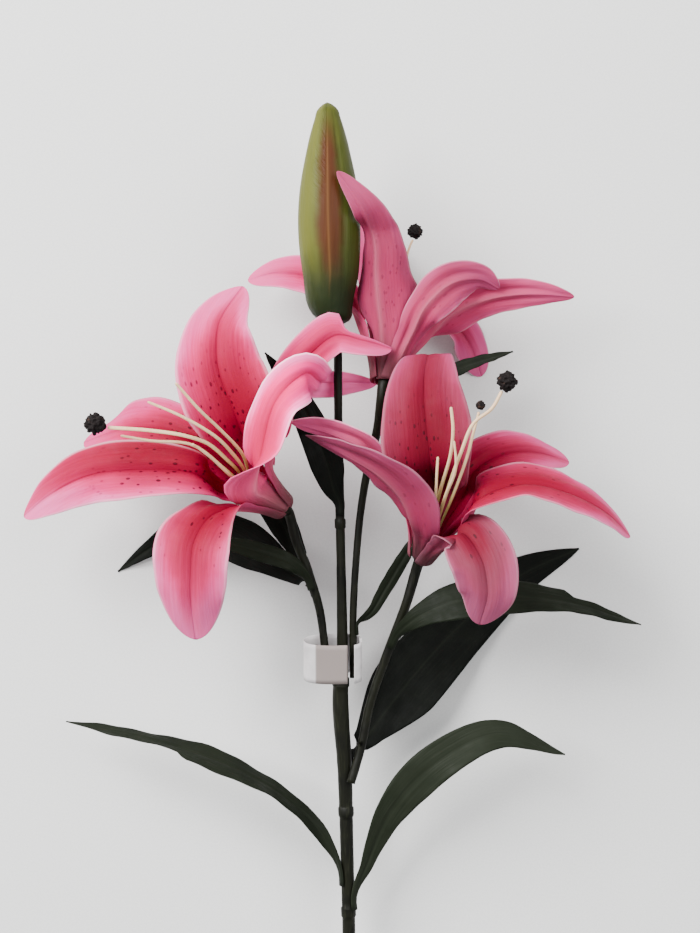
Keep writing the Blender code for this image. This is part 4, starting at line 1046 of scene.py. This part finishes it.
def stem_paint(web, colours):
    """Olive brown with darker patches, and pale fibres along the stem."""
    x, y, z = web.place().parts()
    fibres = web.noise(web.vector(x * 900, y * 60, z * 900), 1, 3)
    patches = web.noise(web.place(), 55, 4)
    colour = web.paint(colours.stem, (patches.rise(0.35, 0.65), scaled(colours.stem, 0.35)),
                       (fibres.rise(0.52, 0.72) * 0.7, scaled(colours.stem, 1.9)))
    return colour, patches, fibres + patches * 1.5


def bud_paint(web, colours):
    """Green with painted light on its left, lime at the tip, an orange-brown stripe along its
    upper side, dark at the foot, fine wrinkles.
    """
    across, share, _ = web.attribute("blade").parts()
    x, y, z = web.place().parts()
    cloud = web.noise(web.place(), 60, 3) - 0.5
    streaks = web.noise(web.vector(x * 420, y * 22, z * 420), 1, 3)
    within = share.rise(0.1, 0.32) * share.fall(0.78, 1)
    # Painted light: the bud's left side is made lime to stand for the light that falls on it; the
    # tip's lime is its own colour
    lit_side = (across + cloud * 0.6).rise(0.1, -0.75)
    lime = web.math("MAXIMUM", lit_side, share.rise(0.6, 1) * 0.35) + (streaks - 0.5) * 0.6
    colour = web.paint(
        colours.bud_green, (lime.clamped(), colours.bud_lime),
        (abs(across - 0.05 + cloud * 0.5).fall(0.15, 0.55) * (within * 0.95), colours.bud_orange),
        ((share + cloud * 0.25).fall(0.06, 0.42), colours.bud_foot),
        (across.bell(0.035) * (within * 0.3), colours.bud_ridge))
    wrinkles = web.noise(web.vector(across * 3, share * 110 + across * 16, 0), 1)
    wrinkled = across.rise(-0.75, -0.3) * across.fall(-0.12, 0) * share.rise(0.4, 0.7)
    return colour, streaks, streaks + wrinkles * (wrinkled * 1.6)


def strand_paint(web, colours):
    """Cream, greener towards the root, with a warmer grain."""
    share, _, _ = web.attribute("blade").parts()
    grain = web.noise(web.place(), 500, 3)
    colour = web.paint(
        colours.strand, ((share + grain * 0.2).fall(0.4, 0.8) * 0.75, colours.strand_green))
    warm = scaled(colours.strand, 0.9, 0.7, 0.55)
    return web.paint(colour, (grain.rise(0.5, 0.75) * 0.5, warm)), grain, grain


def pollen_paint(web, colours):
    """Near black with brown bits, all of it crumbs."""
    crumbs = web.noise(web.place(), 900, 4, 0.7)
    clumps = web.noise(web.place(), 330, 3)
    colour = web.paint(colours.pollen, (clumps.rise(0.58, 0.75), colours.pollen_brown))
    return colour, crumbs, crumbs


def paper_paint(web, colours):
    """White, a little cloudy, with painted shade on the face between the folds."""
    fibres = web.noise(web.place(), 1500, 4, 0.7)
    clouds = web.noise(web.place(), 160, 3)
    x, _, z = web.place().parts()
    # Painted shade on the band's face between its folds
    painted_shade = x.rise(*SHADE_LEFT) * x.fall(*SHADE_RIGHT) * z.rise(*SHADE_TOP)
    colour = web.paint(colours.paper, (clouds.rise(0.35, 0.75), scaled(colours.paper, 0.86)),
                       (painted_shade, colours.paper_shade))
    return colour, fibres, fibres


def floor_paint(web, colours):
    """Pale grey with fine specks."""
    specks = web.noise(web.place(), 900, 3)
    darker = scaled(colours.floor, 0.96)
    return web.paint(colours.floor, (specks.rise(0.4, 0.6), darker)), specks, specks


# Finishes: the paint, the roughness from low grain to high, the bump's distance and strength, and
# the shader's constants
SPECULAR, UNDER, DEPTH = "Specular IOR Level", "Subsurface Weight", "Subsurface Scale"
FINISHES = {
    "Petal": (petal_paint, (0.52, 0.66), (0.001, 1), {SPECULAR: 0.06, UNDER: 0.08, DEPTH: 0.003}),
    "Leaf": (leaf_paint, (0.48, 0.64), (0.0004, 0.7), {SPECULAR: 0.07}),
    "Stem": (stem_paint, (0.42, 0.62), (0.0004, 0.7), {SPECULAR: 0.12}),
    "Bud": (bud_paint, (0.42, 0.58), (0.0005, 0.7), {SPECULAR: 0.12}),
    "Strand": (strand_paint, (0.42, 0.6), (0.0003, 0.5), {UNDER: 0.15, DEPTH: 0.002}),
    "Pollen": (pollen_paint, (0.65, 0.95), (0.0006, 1), {SPECULAR: 0.15}),
    "Paper": (paper_paint, (0.72, 0.88), (0.0002, 0.4), {SPECULAR: 0.2}),
    "Floor": (floor_paint, None, None, {SPECULAR: 0.1, "Roughness": 0.9}),
}


def finish(kind, colours):
    """A new material of this kind of finish."""
    paint, roughness, bump, constants = FINISHES[kind]
    made = bpy.data.materials.new(kind)
    made.use_nodes = True
    web = Web(made.node_tree)
    shader = made.node_tree.nodes["Principled BSDF"].inputs
    for label, value in constants.items():
        shader[label].default_value = value
    colour, grain, height = paint(web, colours)
    web.put(shader["Base Color"], colour)
    if roughness:
        web.put(shader["Roughness"], grain.rise(0.3, 0.7, *roughness))
    if bump:
        distance, strength = bump
        web.put(shader["Normal"], web.node("Bump", {
            "Strength": strength, "Distance": distance, "Height": height}))
    return made


# Operators


def dress(context, kind, pieces):
    """Gives the pieces one finish, and lets each stand for its node of the frame."""
    made = finish(kind, context.scene.lily_colours)
    for node, piece in pieces.items():
        piece.data.materials.append(made)
        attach(piece, "root")
        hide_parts(node)
    return {"FINISHED"}


class LilyOperator:
    bl_options = {"REGISTER", "UNDO"}


class LILY_OT_groups(LilyOperator, bpy.types.Operator):
    """Builds the node groups that the finishes share"""

    bl_idname = "lily.groups"
    bl_label = "Shared effects"

    def execute(self, context):
        build_streaks()
        build_flecks()
        build_petal_colour()
        build_leaf_colour()
        return {"FINISHED"}


class LILY_OT_stems(LilyOperator, bpy.types.Operator):
    """Builds the main stem with its collars and the three side stems"""

    bl_idname = "lily.stems"
    bl_label = "Stems"

    def execute(self, context):
        steps = {"main_stem": STEM_STEPS, **dict.fromkeys(BRANCHES, BRANCH_STEPS)}
        return dress(context, "Stem", {stem: stem_piece(stem + "_skin", *line_of(stem), count)
                                       for stem, count in steps.items()})


class LILY_OT_bud(LilyOperator, bpy.types.Operator):
    """Builds the closed bud at the end of the main stem"""

    bl_idname = "lily.bud"
    bl_label = "Bud"

    def execute(self, context):
        return dress(context, "Bud", {"bud": bud_piece()})


class LILY_OT_petals(LilyOperator, bpy.types.Operator):
    """Builds the petals of the blooms"""

    bl_idname = "lily.petals"
    bl_label = "Petals"

    def execute(self, context):
        sizes = context.scene.lily_sizes
        return dress(context, "Petal", {
            name: petal(name, data, sizes) for name, data in PETALS.items()})


class LILY_OT_strands(LilyOperator, bpy.types.Operator):
    """Builds the pale strands in the throats"""

    bl_idname = "lily.strands"
    bl_label = "Strands"

    def execute(self, context):
        return dress(context, "Strand", {
            name + "_stamens": strands_piece(name, strands) for name, strands in STAMENS.items()})


class LILY_OT_pollen(LilyOperator, bpy.types.Operator):
    """Builds the dark pollen lumps on the longest strands"""

    bl_idname = "lily.pollen"
    bl_label = "Pollen lumps"

    def execute(self, context):
        return dress(context, "Pollen", {
            name: lump_piece(name + "_lump", *place) for name, place in LUMPS.items()})


class LILY_OT_leaves(LilyOperator, bpy.types.Operator):
    """Builds the leaves on the stems"""

    bl_idname = "lily.leaves"
    bl_label = "Leaves"

    def execute(self, context):
        sizes = context.scene.lily_sizes
        return dress(context, "Leaf", {
            name: leaf(name, data, sizes) for name, data in LEAVES.items()})


class LILY_OT_band(LilyOperator, bpy.types.Operator):
    """Builds the blank paper band round the stems"""

    bl_idname = "lily.band"
    bl_label = "Paper band"

    def execute(self, context):
        return dress(context, "Paper", {"paper_band": band_piece(context.scene.lily_sizes)})


def placed(name, data, place):
    """A lamp or camera at its place."""
    made = bpy.data.objects.new(name, data)
    made.location = place
    bpy.context.scene.collection.objects.link(made)
    return made


class LILY_OT_stage(LilyOperator, bpy.types.Operator):
    """Builds the floor, the soft lights and the camera that looks down on the spray"""

    bl_idname = "lily.stage"
    bl_label = "Stage"

    def execute(self, context):
        shape = bmesh.new()
        bmesh.ops.create_grid(shape, x_segments=1, y_segments=1, size=FLOOR_REACH)
        floor = finished("floor", shape)
        floor.data.materials.append(finish("Floor", context.scene.lily_colours))

        world = bpy.data.worlds.new("Studio")
        world.use_nodes = True
        air = world.node_tree.nodes["Background"].inputs
        air["Color"].default_value = AIR
        air["Strength"].default_value = AIR_STRENGTH
        context.scene.world = world
        for name, (place, size, power) in LAMPS.items():
            light = bpy.data.lights.new(name, "AREA")
            light.size = size
            light.energy = power
            towards = Vector(LAMP_GOAL) - Vector(place)
            placed(name, light, place).rotation_euler = towards.to_track_quat("-Z", "Y").to_euler()

        camera = bpy.data.cameras.new("Camera")
        camera.sensor_fit = "AUTO"
        camera.sensor_width = SENSOR
        camera.lens = SENSOR * SIGHT_DISTANCE / SIGHT_HEIGHT
        camera.clip_end = FAR_END
        context.scene.camera = placed("Camera", camera, (
            -ORIGIN[0] * MM, (SIGHT_CENTRE - ORIGIN[1]) * MM,
            (SIGHT_DISTANCE + SIGHT_LEVEL) * MM))
        return {"FINISHED"}


class LILY_PT_build(bpy.types.Panel):
    """Lists the lily's pieces, sizes and colours"""

    bl_idname = "LILY_PT_build"
    bl_label = "Cut lily spray"
    bl_space_type = "VIEW_3D"
    bl_region_type = "UI"
    bl_category = "Lily"

    def draw(self, context):
        for operator in STEPS:
            self.layout.operator(operator.bl_idname)
        for values in (context.scene.lily_sizes, context.scene.lily_colours):
            for label in values.__annotations__:
                self.layout.prop(values, label)


STEPS = (LILY_OT_groups, LILY_OT_stems, LILY_OT_bud, LILY_OT_petals, LILY_OT_strands,
         LILY_OT_pollen, LILY_OT_leaves, LILY_OT_band, LILY_OT_stage)
CLASSES = (LilySizes, LilyColours, *STEPS, LILY_PT_build)


def register():
    for kind in CLASSES:
        bpy.utils.register_class(kind)
    bpy.types.Scene.lily_sizes = PointerProperty(type=LilySizes)
    bpy.types.Scene.lily_colours = PointerProperty(type=LilyColours)


def unregister():
    del bpy.types.Scene.lily_colours
    del bpy.types.Scene.lily_sizes
    for kind in reversed(CLASSES):
        bpy.utils.unregister_class(kind)


def main():
    register()
    bpy.ops.lily.groups()
    bpy.ops.lily.stems()
    bpy.ops.lily.bud()
    bpy.ops.lily.petals()
    bpy.ops.lily.strands()
    bpy.ops.lily.pollen()
    bpy.ops.lily.leaves()
    bpy.ops.lily.band()
    bpy.ops.lily.stage()


if __name__ == "__main__":
    main()
